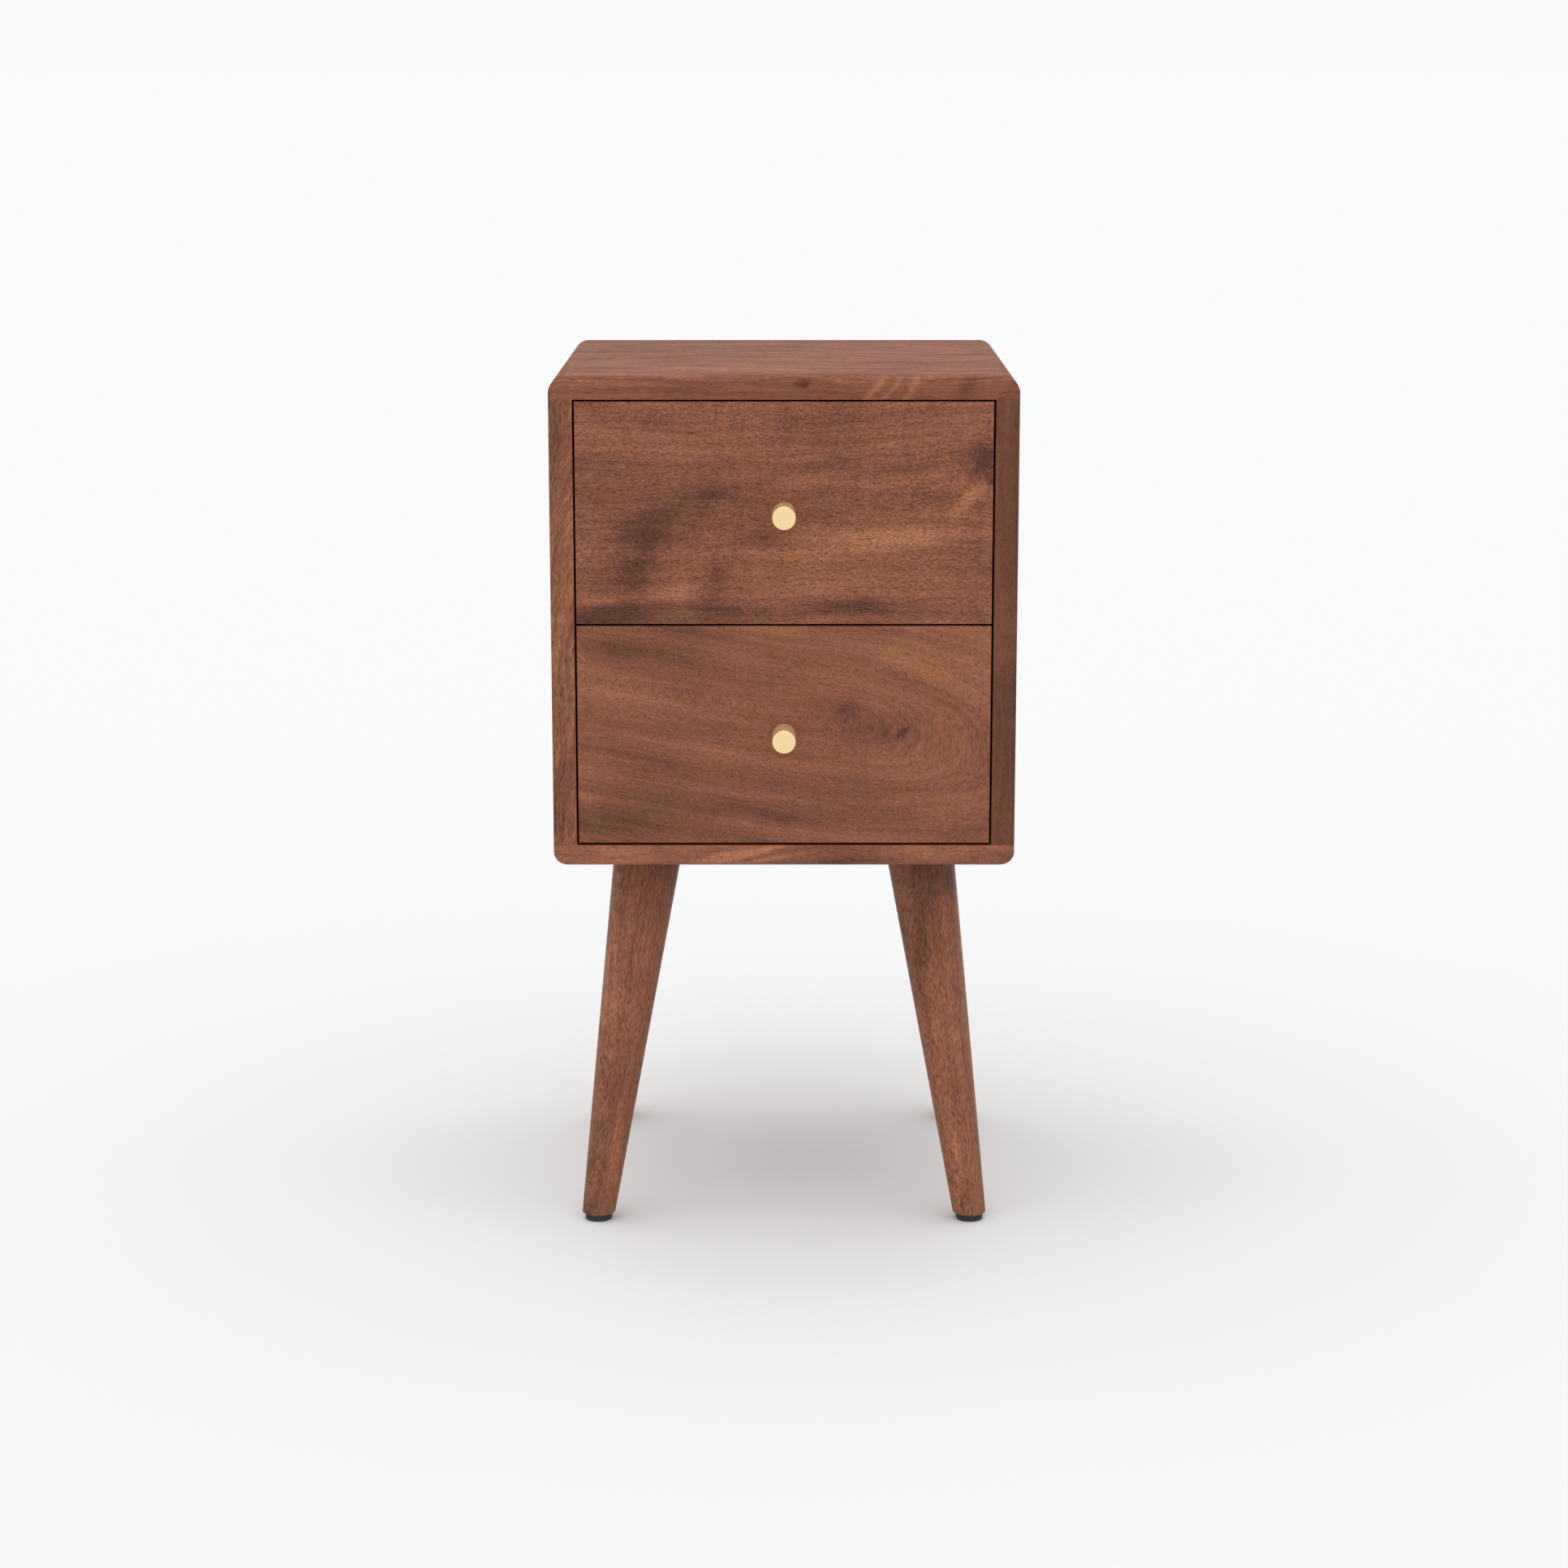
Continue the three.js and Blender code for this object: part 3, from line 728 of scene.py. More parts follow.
@dataclass(frozen=True)
class WoodFinish:
    """Lacquered wood with bands, streaks, fibres and pores that follow one grain."""

    name: str
    tones: Tones
    grain: Grain
    seed: float
    sway: float = 14.0  # how far the grain wanders, in millimetres
    waver: float = 2.4  # how far its finest lines do
    slope: float = 0.0  # how far the grain drops for each millimetre along it
    lean: float = 0.0  # how far it does for each millimetre through the board
    bands: float = 0.7  # strength of the broad bands
    streaks: float = 0.5
    fibres: float = 1.5
    pores: float = 0.5
    ripple: float = 0.2  # strength of the ripple across the grain
    clouds: float = 0.5
    dash: float = 0.45  # how many fibres there are in each millimetre along the grain
    roughness: float = 0.55
    gloss: float = 0.2
    shade: float = 1.0
    front: float = 0.0  # where the board's sawn front edge is, through the board
    calm: float = 0.0  # how much quieter the figure is on that edge
    eye: Eye | None = None
    marks: tuple[Mark, ...] = ()

    def material(self, origin: Vector, turn: Matrix | None = None) -> bpy.types.Material:
        """Builds the finish for one piece.

        Args:
            origin: The piece's middle in the frame.
            turn: A rotation that brings the piece's length to +Z, for turned pieces.

        Returns:
            The material.
        """
        recipe = Recipe(self.name)
        axes = self.grain.turn() if turn is None else self.grain.turn() @ turn
        along, across, through = self.coordinates(recipe, axes, origin)
        run = along + self.seed * SEED_STEP
        bend, drift = (recipe.noise(layer, run, across, through) for layer in (BEND, DRIFT))
        spot = Spot(along, across, through, bend, drift)
        flow = self.flow(spot)
        deep = through + across * SLANT
        fine = flow + recipe.noise(WAVER, run, across, deep) * self.waver
        seeded = replace(BROAD, shift=(0.0, 0.0, self.seed))
        broad = recipe.noise(seeded, run, flow, through)
        streak = recipe.noise(STREAK, run, fine, deep)
        fibre = recipe.noise(FIBRE, run * self.dash, fine, deep)
        pore = recipe.noise(PORE, run * self.dash, fine, deep)
        ripple = recipe.noise(RIPPLE, run, flow, through)
        cloud = recipe.noise(CLOUD, run, across, through)
        end_grain = self.end_grain(recipe, axes[0])
        loud = 1 - end_grain * END_CALM
        if self.calm:
            edge = (through - self.front) / FRONT_REACH
            loud = loud - (edge * edge).bell() * self.calm
        fibre = fibre * loud
        figure = (broad * self.bands + streak * self.streaks) * loud
        tone = 0.5 + figure + ripple * self.ripple + cloud * self.clouds
        open_pore = pore.between(PORE_RIM, PORE_HEART) * self.pores
        colour = recipe.ramp(self.marked(tone, spot), self.tones.stops())
        lines = LIFT + fibre * self.fibres - open_pore * PORE_DARK
        lines = lines.maths("MAXIMUM", DARKEST) * (1 - end_grain * END_DARK)
        recipe.set(
            Base_Color=recipe.shade(colour, lines * self.shade),
            Roughness=self.roughness + open_pore * PORE_DULL,
            Specular_IOR_Level=self.gloss,
        )
        recipe.bump(fibre * FIBRE_RELIEF - open_pore, WOOD_RELIEF)
        return recipe.material

    @staticmethod
    def coordinates(recipe: Recipe, axes: Matrix, origin: Vector) -> tuple[Value, ...]:
        """Reads the place along, across and through the board, in millimetres.

        Args:
            recipe: The material being built.
            axes: Rows that give the three directions in the frame.
            origin: The board's middle.

        Returns:
            The three coordinates.
        """
        place = recipe.place(origin)
        found = []
        for row in axes:
            first, *rest = (part * share for part, share in zip(place, row) if abs(share) > NEAR)
            found.append(sum(rest, first))
        return tuple(found)

    @staticmethod
    def end_grain(recipe: Recipe, lengthwise: Vector) -> Value:
        """Finds where the surface cuts across the fibres.

        Args:
            recipe: The material being built.
            lengthwise: The direction along the board.

        Returns:
            0 on the board's faces and 1 on its ends.
        """
        facing = recipe.add("ShaderNodeTexCoord").outputs["Normal"]
        product = recipe.vector_maths("DOT_PRODUCT", facing, lengthwise)
        share = Value(recipe, product.outputs["Value"])
        return share * share

    def flow(self, spot: Spot) -> Value:
        """Works out how far a place is across the grain, which runs round the knots.

        Args:
            spot: The place.

        Returns:
            A distance in millimetres that stays the same along a line of the grain.
        """
        sway = (spot.bend * BEND_SWAY + spot.drift * DRIFT_SWAY) * self.sway
        flow = spot.across + spot.along * self.slope + sway
        if self.eye:
            side = flow - self.eye.across - self.eye.along * self.slope
            past = spot.along - self.eye.along + self.eye.reach + spot.drift * self.sway
            past = past + (past * past + self.eye.softness ** 2).root()
            past = past * (self.eye.closing / 2)
            flow = (side * side + past * past + self.eye.blunt).root()
        for mark in self.marks:
            if mark.swirl:
                far = self.distance(mark, spot) + SWIRL_CORE
                flow = flow - (spot.across + sway - mark.across) * mark.swirl / far
        return flow + spot.through * self.lean

    @staticmethod
    def distance(mark: Mark, spot: Spot) -> Value:
        """Works out how far a place is from a mark, squared, with 1 at the mark's edge.

        Args:
            mark: The mark, whose outline wanders with the grain.
            spot: The place.

        Returns:
            The squared distance.
        """
        cos, sin = math.cos(math.radians(mark.tilt)), math.sin(math.radians(mark.tilt))
        wander = spot.drift * DRIFT_MARK
        sideways = spot.along + wander * mark.long - mark.along
        upwards = spot.across + (spot.bend * BEND_MARK + wander) * mark.wide - mark.across
        length = (sideways * cos + upwards * sin) / mark.long
        width = (upwards * cos - sideways * sin) / mark.wide
        far = length * length + width * width
        if mark.deep:
            inwards = (spot.through - mark.through) / mark.deep
            far = far + inwards * inwards
        return far

    def marked(self, tone: Value, spot: Spot) -> Value:
        """Adds the marks' lighter and darker tones.

        Args:
            tone: The wood's tone without them.
            spot: The place.

        Returns:
            The tone with them.
        """
        for mark in self.marks:
            if mark.tone:
                tone = tone + self.distance(mark, spot).bell() * mark.tone
        return tone


TARNISH = Layer((0.09, 0.09, 0.09), 3.0)
TARNISH_MEAN = 0.25  # how far a metal is tarnished on the whole
ROLLED = 0.04  # how few cells its rolling marks have along them, in each millimetre
TARNISH_DULL, TOOLED_DULL = 0.12, 0.05  # how much rougher tarnish and tool marks are
METAL_RELIEF = 0.003 * MM

SPARKS = Layer((3.0, 3.0, 3.0), 2.0)  # the fine grain of a moulded surface
SCUFFS = Layer((0.3, 0.3, 0.5), 3.0)
SCUFF_RIM, SCUFF_HEART = -0.02, 0.25  # the noise where a scuff starts and where it is full
SCUFF_GAIN, SCUFF_DUST = 1.9, 0.006  # how much paler a scuff is: times, and more
SCUFF_DULL, SPARK_DULL = 0.2, 0.1  # how much rougher scuffs and the fine grain are
PLASTIC_RELIEF = 0.04 * MM


@dataclass(frozen=True)
class MetalFinish:
    """Worked metal, with fine tool marks along or round a piece."""

    name: str
    colour: Colour
    tarnish: Colour
    roughness: float
    cloudiness: float  # how much the tarnish shows
    lines: float  # tool marks in each millimetre
    turned: bool = False  # tool marks run round the piece's own middle
    metal: float = 1.0  # less than 1 under a film of lacquer

    def material(self, origin: Vector) -> bpy.types.Material:
        """Builds the finish for one piece.

        Args:
            origin: The piece's middle in the frame.

        Returns:
            The material.
        """
        recipe = Recipe(self.name)
        x, y, z = recipe.place(origin)
        cloud = recipe.noise(TARNISH, x, y, z)
        if self.turned:
            marks = recipe.noise(Layer((self.lines, self.lines, 0.0)), (x * x + z * z).root(), y, z)
        else:
            marks = recipe.noise(Layer((self.lines, ROLLED, self.lines), 2.0), x, y, z)
        dulled = (cloud * self.cloudiness + TARNISH_MEAN).between(0.0, 1.0)
        recipe.set(
            Base_Color=recipe.blend(dulled, self.colour, self.tarnish),
            Metallic=self.metal,
            Roughness=self.roughness + cloud * TARNISH_DULL + marks * TOOLED_DULL,
        )
        recipe.bump(marks, METAL_RELIEF)
        return recipe.material


@dataclass(frozen=True)
class PlasticFinish:
    """Moulded plastic with a fine spark-eroded grain."""

    name: str
    colour: Colour
    roughness: float

    def material(self, origin: Vector) -> bpy.types.Material:
        """Builds the finish for one piece.

        Args:
            origin: The piece's middle in the frame.

        Returns:
            The material.
        """
        recipe = Recipe(self.name)
        place = recipe.place(origin)
        texture, scuff = (recipe.noise(layer, *place) for layer in (SPARKS, SCUFFS))
        worn = tuple(part * SCUFF_GAIN + SCUFF_DUST for part in self.colour)
        scuffed = scuff.between(SCUFF_RIM, SCUFF_HEART)
        recipe.set(
            Base_Color=recipe.blend(scuffed, self.colour, worn),
            Roughness=self.roughness + scuff * SCUFF_DULL + texture * SPARK_DULL,
        )
        recipe.bump(texture, PLASTIC_RELIEF)
        return recipe.material


BRASS = MetalFinish(
    "brass", (0.93, 0.71, 0.39), (0.80, 0.57, 0.28), 0.26, 0.4, 1.4, turned=True, metal=0.5,
)
ZINC = MetalFinish("zinc_steel", (0.62, 0.64, 0.66), (0.46, 0.48, 0.51), 0.34, 0.9, 1.1)
STEEL = MetalFinish("bright_steel", (0.72, 0.72, 0.73), (0.58, 0.59, 0.61), 0.18, 0.4, 0.8)
BLACK = PlasticFinish("black_plastic", (0.016, 0.016, 0.017), 0.55)


# ---- Putting pieces in the frame ----


def dress(piece: bpy.types.Object, material: bpy.types.Material) -> None:
    """Gives a piece its one material and reports it.

    Args:
        piece: The piece.
        material: What it is dressed in.
    """
    piece.data.materials.clear()
    piece.data.materials.append(material)
    LOG.info("%s in %s: %d faces", piece.name, material.name, len(piece.data.polygons))


def fit(
    piece: bpy.types.Object, body: str, material: bpy.types.Material,
    node: str | None = None,
) -> None:
    """Dresses a finished piece and puts it on its body.

    Args:
        piece: The finished piece.
        body: The body it rides on.
        material: What it is dressed in.
        node: The frame node it stands for, if any.
    """
    dress(piece, material)
    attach(piece, body)
    if node:
        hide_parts(node)


class Side(Enum):
    """The nightstand's two sides, with the sign of X on each."""

    LEFT = ("left", -1)
    RIGHT = ("right", 1)

    @property
    def label(self) -> str:
        """The side's name in a node's name."""
        return self.value[0]

    @property
    def sign(self) -> int:
        """The sign of X on this side."""
        return self.value[1]


class Shelf(StrEnum):
    """The case's two level boards, as their pieces are named."""

    TOP = "top"
    BOTTOM = "bottom"


class Level(StrEnum):
    """The two drawers, as their pieces are named."""

    UPPER = "upper"
    LOWER = "lower"


class Member(StrEnum):
    """A runner's three members, as they are named."""

    OUTER = "outer"
    MIDDLE = "middle"
    INNER = "inner"


class Corner(Enum):
    """The nightstand's four corners: the signs of X and Y, and the quarter turns, at each."""

    FRONT_LEFT = ("front_left", -1, -1, 0)
    FRONT_RIGHT = ("front_right", 1, -1, 1)
    REAR_LEFT = ("rear_left", -1, 1, 3)
    REAR_RIGHT = ("rear_right", 1, 1, 2)

    @property
    def label(self) -> str:
        """The corner's name in a node's name."""
        return self.value[0]

    @property
    def signs(self) -> tuple[int, int]:
        """The signs of X and Y at this corner."""
        return self.value[1:3]

    @property
    def turn(self) -> float:
        """The angle in radians from the front left corner round to this one."""
        return self.value[3] * math.pi / 2


@dataclass(frozen=True)
class CrossScrew:
    """The visible head of a screw with a cross recess."""

    head: float = 3.6 * MM  # radius
    crown: float = 2.88 * MM  # radius of its top
    rise: float = 1.3 * MM
    easing: float = 0.455 * MM
    slot: float = 2.2 * MM  # half the length of a cross's arm
    blade: float = 0.45 * MM  # half its width
    slot_floor: float = -0.13 * MM  # the cross's bottom, from the surface

    def pattern(self) -> bpy.types.Object:
        """Models the head at the origin, standing along +Z.

        Returns:
            The pattern.
        """
        head = Bench.rod(
            "screw_pattern", DOWN * self.rise, UP * self.rise, self.head, self.crown, sides=24,
        )
        Bench.ease(head, self.easing, 3, 50)
        for x, y in ((self.slot, self.blade), (self.blade, self.slot)):
            low, high = Vector((-x, -y, self.slot_floor)), Vector((x, y, self.rise * 2))
            Bench.carve(head, Bench.block("arm", low, high))
        dress(head, ZINC.material(Vector()))
        return Bench.polish(head, 35)

    def drive(
        self, name: str, places: Sequence[Vector], facing: Vector, body: str, step: float,
        first: float = 0.0,
    ) -> None:
        """Drives one screw at each of several places.

        Args:
            name: What they are called, before their number.
            places: Where their heads meet the surface.
            facing: The way their heads face.
            body: The body they ride on.
            step: How far each is turned on from the one before, in degrees.
            first: How far the first is turned.
        """
        turn = facing.to_track_quat("Z", "Y").to_matrix().to_4x4()
        for number, place in enumerate(places):
            spin = Matrix.Rotation(math.radians(first + step * number), 4, "Z")
            screw = Bench.copy(
                f"{name}_{number + 1}", "screw", self.pattern,
                Matrix.Translation(place) @ turn @ spin,
            )
            fit(screw, body, screw.data.materials[0])


SCREW = CrossScrew()


# ---- Case ----


FRONT_EDGE = -178.0  # of the level boards, in millimetres through them


@dataclass
class Case:
    """The carcass: a top and a bottom board, two side boards and a back panel."""

    corner: float = 13.5 * MM  # rounding of the four long outer edges
    corner_steps: int = 16
    arris: float = 0.7 * MM
    inner_arris: float = 0.49 * MM  # of the side boards
    back_easing: float = 0.5 * MM
    clearance: float = 0.5 * MM  # round the back panel
    pocket: float = 13 * MM  # radius of a leg boss's pocket
    pocket_depth: float = 11 * MM
    dowel_room: float = 0.15 * MM  # round each dowel
    overrun: float = 20 * MM  # how far the rebate's cutter stands out of the rear
    screw_inset: float = 4.6 * MM  # from the back panel's edge
    screw_rows: int = 4
    body: str = "case"

    def build(self) -> None:
        """Builds and dresses the carcass."""
        self.level_board(Shelf.TOP, self.top_finish())
        self.level_board(Shelf.BOTTOM, self.bottom_finish())
        for side in Side:
            self.side_board(side)
        self.back_panel()
        self.back_screws()
        self.dowels()

    @staticmethod
    def top_finish() -> WoodFinish:
        """Describes the top board, with a pin knot and light stripes in its edge.

        Returns:
            Its finish.
        """
        edge = FRONT_EDGE
        return WoodFinish(
            "top_wood", RED_BROWN, Grain.ACROSS, 3.0, lean=0.45, bands=0.9, streaks=1.6,
            clouds=0.3, fibres=1.9, dash=0.22, roughness=0.62, gloss=0.1, shade=0.93,
            front=edge, calm=0.55,
            marks=(
                Mark(14, 3.0, 5.5, 2.4, 8, -0.75, 0.0, edge, 10),
                Mark(14, 3.0, 12.0, 6.0, 5, -0.10, 0.6, edge, 22),
                Mark(70, 0.0, 18.0, 2.2, 48, 0.46, 0.0, edge, 9),
                Mark(82, 0.0, 18.0, 1.8, 46, 0.38, 0.0, edge, 9),
                Mark(98, 2.0, 18.0, 2.6, 52, 0.34, 0.0, edge, 9),
                Mark(140, 2.0, 20.0, 6.0, 60, -0.30, 0.0, edge, 9),
            ),
        )

    @staticmethod
    def bottom_finish() -> WoodFinish:
        """Describes the bottom board, with curved light stripes left of its edge's middle.

        Returns:
            Its finish.
        """
        edge = FRONT_EDGE
        return WoodFinish(
            "bottom_wood", RED_BROWN, Grain.ACROSS, 8.0, lean=0.8, streaks=0.8, fibres=1.6,
            dash=0.36, shade=1.12, front=edge, calm=0.25,
            marks=(
                Mark(-30, 1.0, 34.0, 2.6, 16, 0.66, 0.0, edge, 9),
                Mark(-18, -4.0, 28.0, 2.0, 12, 0.50, 0.0, edge, 9),
                Mark(-56, -2.0, 22.0, 2.6, 18, 0.40, 0.0, edge, 9),
                Mark(36, -7.0, 18.0, 3.2, 4, -0.45, 0.0, edge, 9),
                Mark(-130, -3.0, 34.0, 6.0, 6, 0.30, 0.0, edge, 12),
                Mark(140, 4.0, 30.0, 5.0, 4, 0.20, 0.0, edge, 12),
            ),
        )

    @staticmethod
    def side_finish(side: Side) -> WoodFinish:
        """Describes one side board: the left one streaky, the right one dusky and even.

        Args:
            side: Which side it is on.

        Returns:
            Its finish.
        """
        if side is Side.LEFT:
            return WoodFinish(
                "left_side_wood", RED_BROWN, Grain.UPRIGHT, 5.0, lean=0.7, sway=18.0, waver=3.0,
                streaks=1.3, fibres=2.1, pores=0.5, slope=-0.16, dash=0.2,
            )
        return WoodFinish(
            "right_side_wood", DUSKY_BROWN, Grain.UPRIGHT, 11.0, lean=0.7, sway=12.0, waver=3.0,
            streaks=0.45, fibres=1.1, pores=0.2, dash=0.5, shade=0.9,
        )

    def level_board(self, shelf: Shelf, finish: WoodFinish) -> None:
        """Models the top or the bottom board, which carry the rounded edges.

        Args:
            shelf: Which board it is.
            finish: What it is dressed in.
        """
        node = f"{shelf}_panel"
        low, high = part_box(node)
        board = Bench.block(f"{node}_board", low, high)
        outer, seam = (high.z, low.z) if shelf is Shelf.TOP else (low.z, high.z)
        Bench.round_edges(
            board, self.corner, self.corner_steps,
            lambda p: at(abs(p.x), high.x) and at(p.z, outer),
        )
        for end in (low.y, high.y):
            self.ease_outline(board, end, seam)
        tools = [self.rebate(), *(self.dowel_hole(shelf, corner) for corner in Corner)]
        if shelf is Shelf.BOTTOM:
            tools += [self.boss_pocket(corner) for corner in Corner]
        Bench.polish(Bench.carve(board, *tools))
        fit(board, self.body, finish.material(middle(node)), node)

    def ease_outline(self, board: bpy.types.Object, end: float, seam: float) -> None:
        """Eases a board's outline at one end, apart from its edge on the seam.

        Args:
            board: The board.
            end: The end's place along Y.
            seam: The seam's height.
        """
        mesh = board.data
        Bench.select(board, lambda p: at(p.y, end))
        Bench.done()
        for edge in mesh.edges:
            ends = [mesh.vertices[i].co for i in edge.vertices]
            edge.select = all(at(p.y, end) for p in ends) and not all(at(p.z, seam) for p in ends)
        for part in (*mesh.vertices, *mesh.polygons):
            part.select = False
        bpy.ops.object.mode_set(mode="EDIT")
        bpy.ops.mesh.bevel(offset=self.arris, segments=3, affect="EDGES")
        Bench.done()

    def rebate(self) -> bpy.types.Object:
        """Models the space that the back panel is let into, as a cutter.

        Returns:
            The cutter, open to the rear.
        """
        low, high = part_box("back_panel")
        room = Vector((self.clearance, 0, self.clearance))
        return Bench.block("rebate", low - room, high + room + REARWARDS * self.overrun)

    def dowel_hole(self, shelf: Shelf, corner: Corner) -> bpy.types.Object:
        """Models the hole that a dowel fills, as a cutter.

        Args:
            shelf: The board that the dowel stands in.
            corner: Its corner.

        Returns:
            The cutter, a little longer and wider than the dowel.
        """
        node = f"{shelf}_dowel_{corner.label}"
        low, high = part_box(node)
        reach = UP * ((high.z - low.z) / 2 + self.dowel_room)
        radius = (high.x - low.x) / 2 + self.dowel_room
        return Bench.rod(
            "dowel_hole", middle(node) - reach, middle(node) + reach, radius, sides=32,
        )

    def boss_pocket(self, corner: Corner) -> bpy.types.Object:
        """Models the blind hole over a leg for its plate's boss, as a cutter.

        Args:
            corner: The leg's corner.

        Returns:
            The cutter, standing a little out of the board's underside.
        """
        mouth = middle(f"leg_plate_{corner.label}")
        mouth.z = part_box("bottom_panel")[0].z
        return Bench.rod("pocket", mouth + DOWN * MM, mouth + UP * self.pocket_depth, self.pocket)

    def side_board(self, side: Side) -> None:
        """Models one side board.

        Args:
            side: Which side it is on.
        """
        node = f"side_panel_{side.label}"
        low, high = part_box(node)
        board = Bench.block(f"{node}_board", low, high)
        outer, inner = (high.x, low.x) if side is Side.RIGHT else (low.x, high.x)
        for width, steps, x, y in (
            (self.arris, 3, outer, low.y),
            (self.arris, 3, outer, high.y),
            (self.inner_arris, 2, inner, low.y),
        ):
            Bench.round_edges(board, width, steps, lambda p: at(p.x, x) and at(p.y, y))
        corners = [corner for corner in Corner if corner.signs[0] == side.sign]
        holes = [self.dowel_hole(shelf, corner) for shelf in Shelf for corner in corners]
        Bench.polish(Bench.carve(board, self.rebate(), *holes))
        material = self.side_finish(side).material(middle(node))
        fit(board, self.body, material, node)

    def back_panel(self) -> None:
        """Models the thin back panel, with a slightly eased edge."""
        panel = Bench.block("back_panel_sheet", *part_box("back_panel"))
        Bench.polish(Bench.ease(panel, self.back_easing))
        finish = WoodFinish(
            "back_wood", VENEER, Grain.UPRIGHT, 17.0, sway=18.0, bands=0.9, streaks=0.8,
            fibres=1.2, dash=0.2, roughness=0.66,
        )
        material = finish.material(middle("back_panel"))
        fit(panel, self.body, material, "back_panel")

    def back_screws(self) -> None:
        """Drives the screws that hold the back panel in its rebate."""
        low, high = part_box("back_panel")
        left, right = low.x + self.screw_inset, high.x - self.screw_inset
        bottom, top = low.z + self.screw_inset, high.z - self.screw_inset
        rows = [
            bottom + (top - bottom) * row / (self.screw_rows - 1) for row in range(self.screw_rows)
        ]
        spots = [(x, z) for z in rows for x in (left, right)] + [(0.0, bottom), (0.0, top)]
        places = [Vector((x, high.y, z)) for x, z in spots]
        SCREW.drive("back_screw", places, REARWARDS, self.body, step=37.0)

    def dowels(self) -> None:
        """Dresses the dowels inside the joints."""
        finish = WoodFinish("dowel_wood", BEECH, Grain.UPRIGHT, 2.0, roughness=0.7)
        material = finish.material(Vector())
        for shelf in Shelf:
            for corner in Corner:
                dress(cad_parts[f"{shelf}_dowel_{corner.label}"], material)


# ---- Legs ----


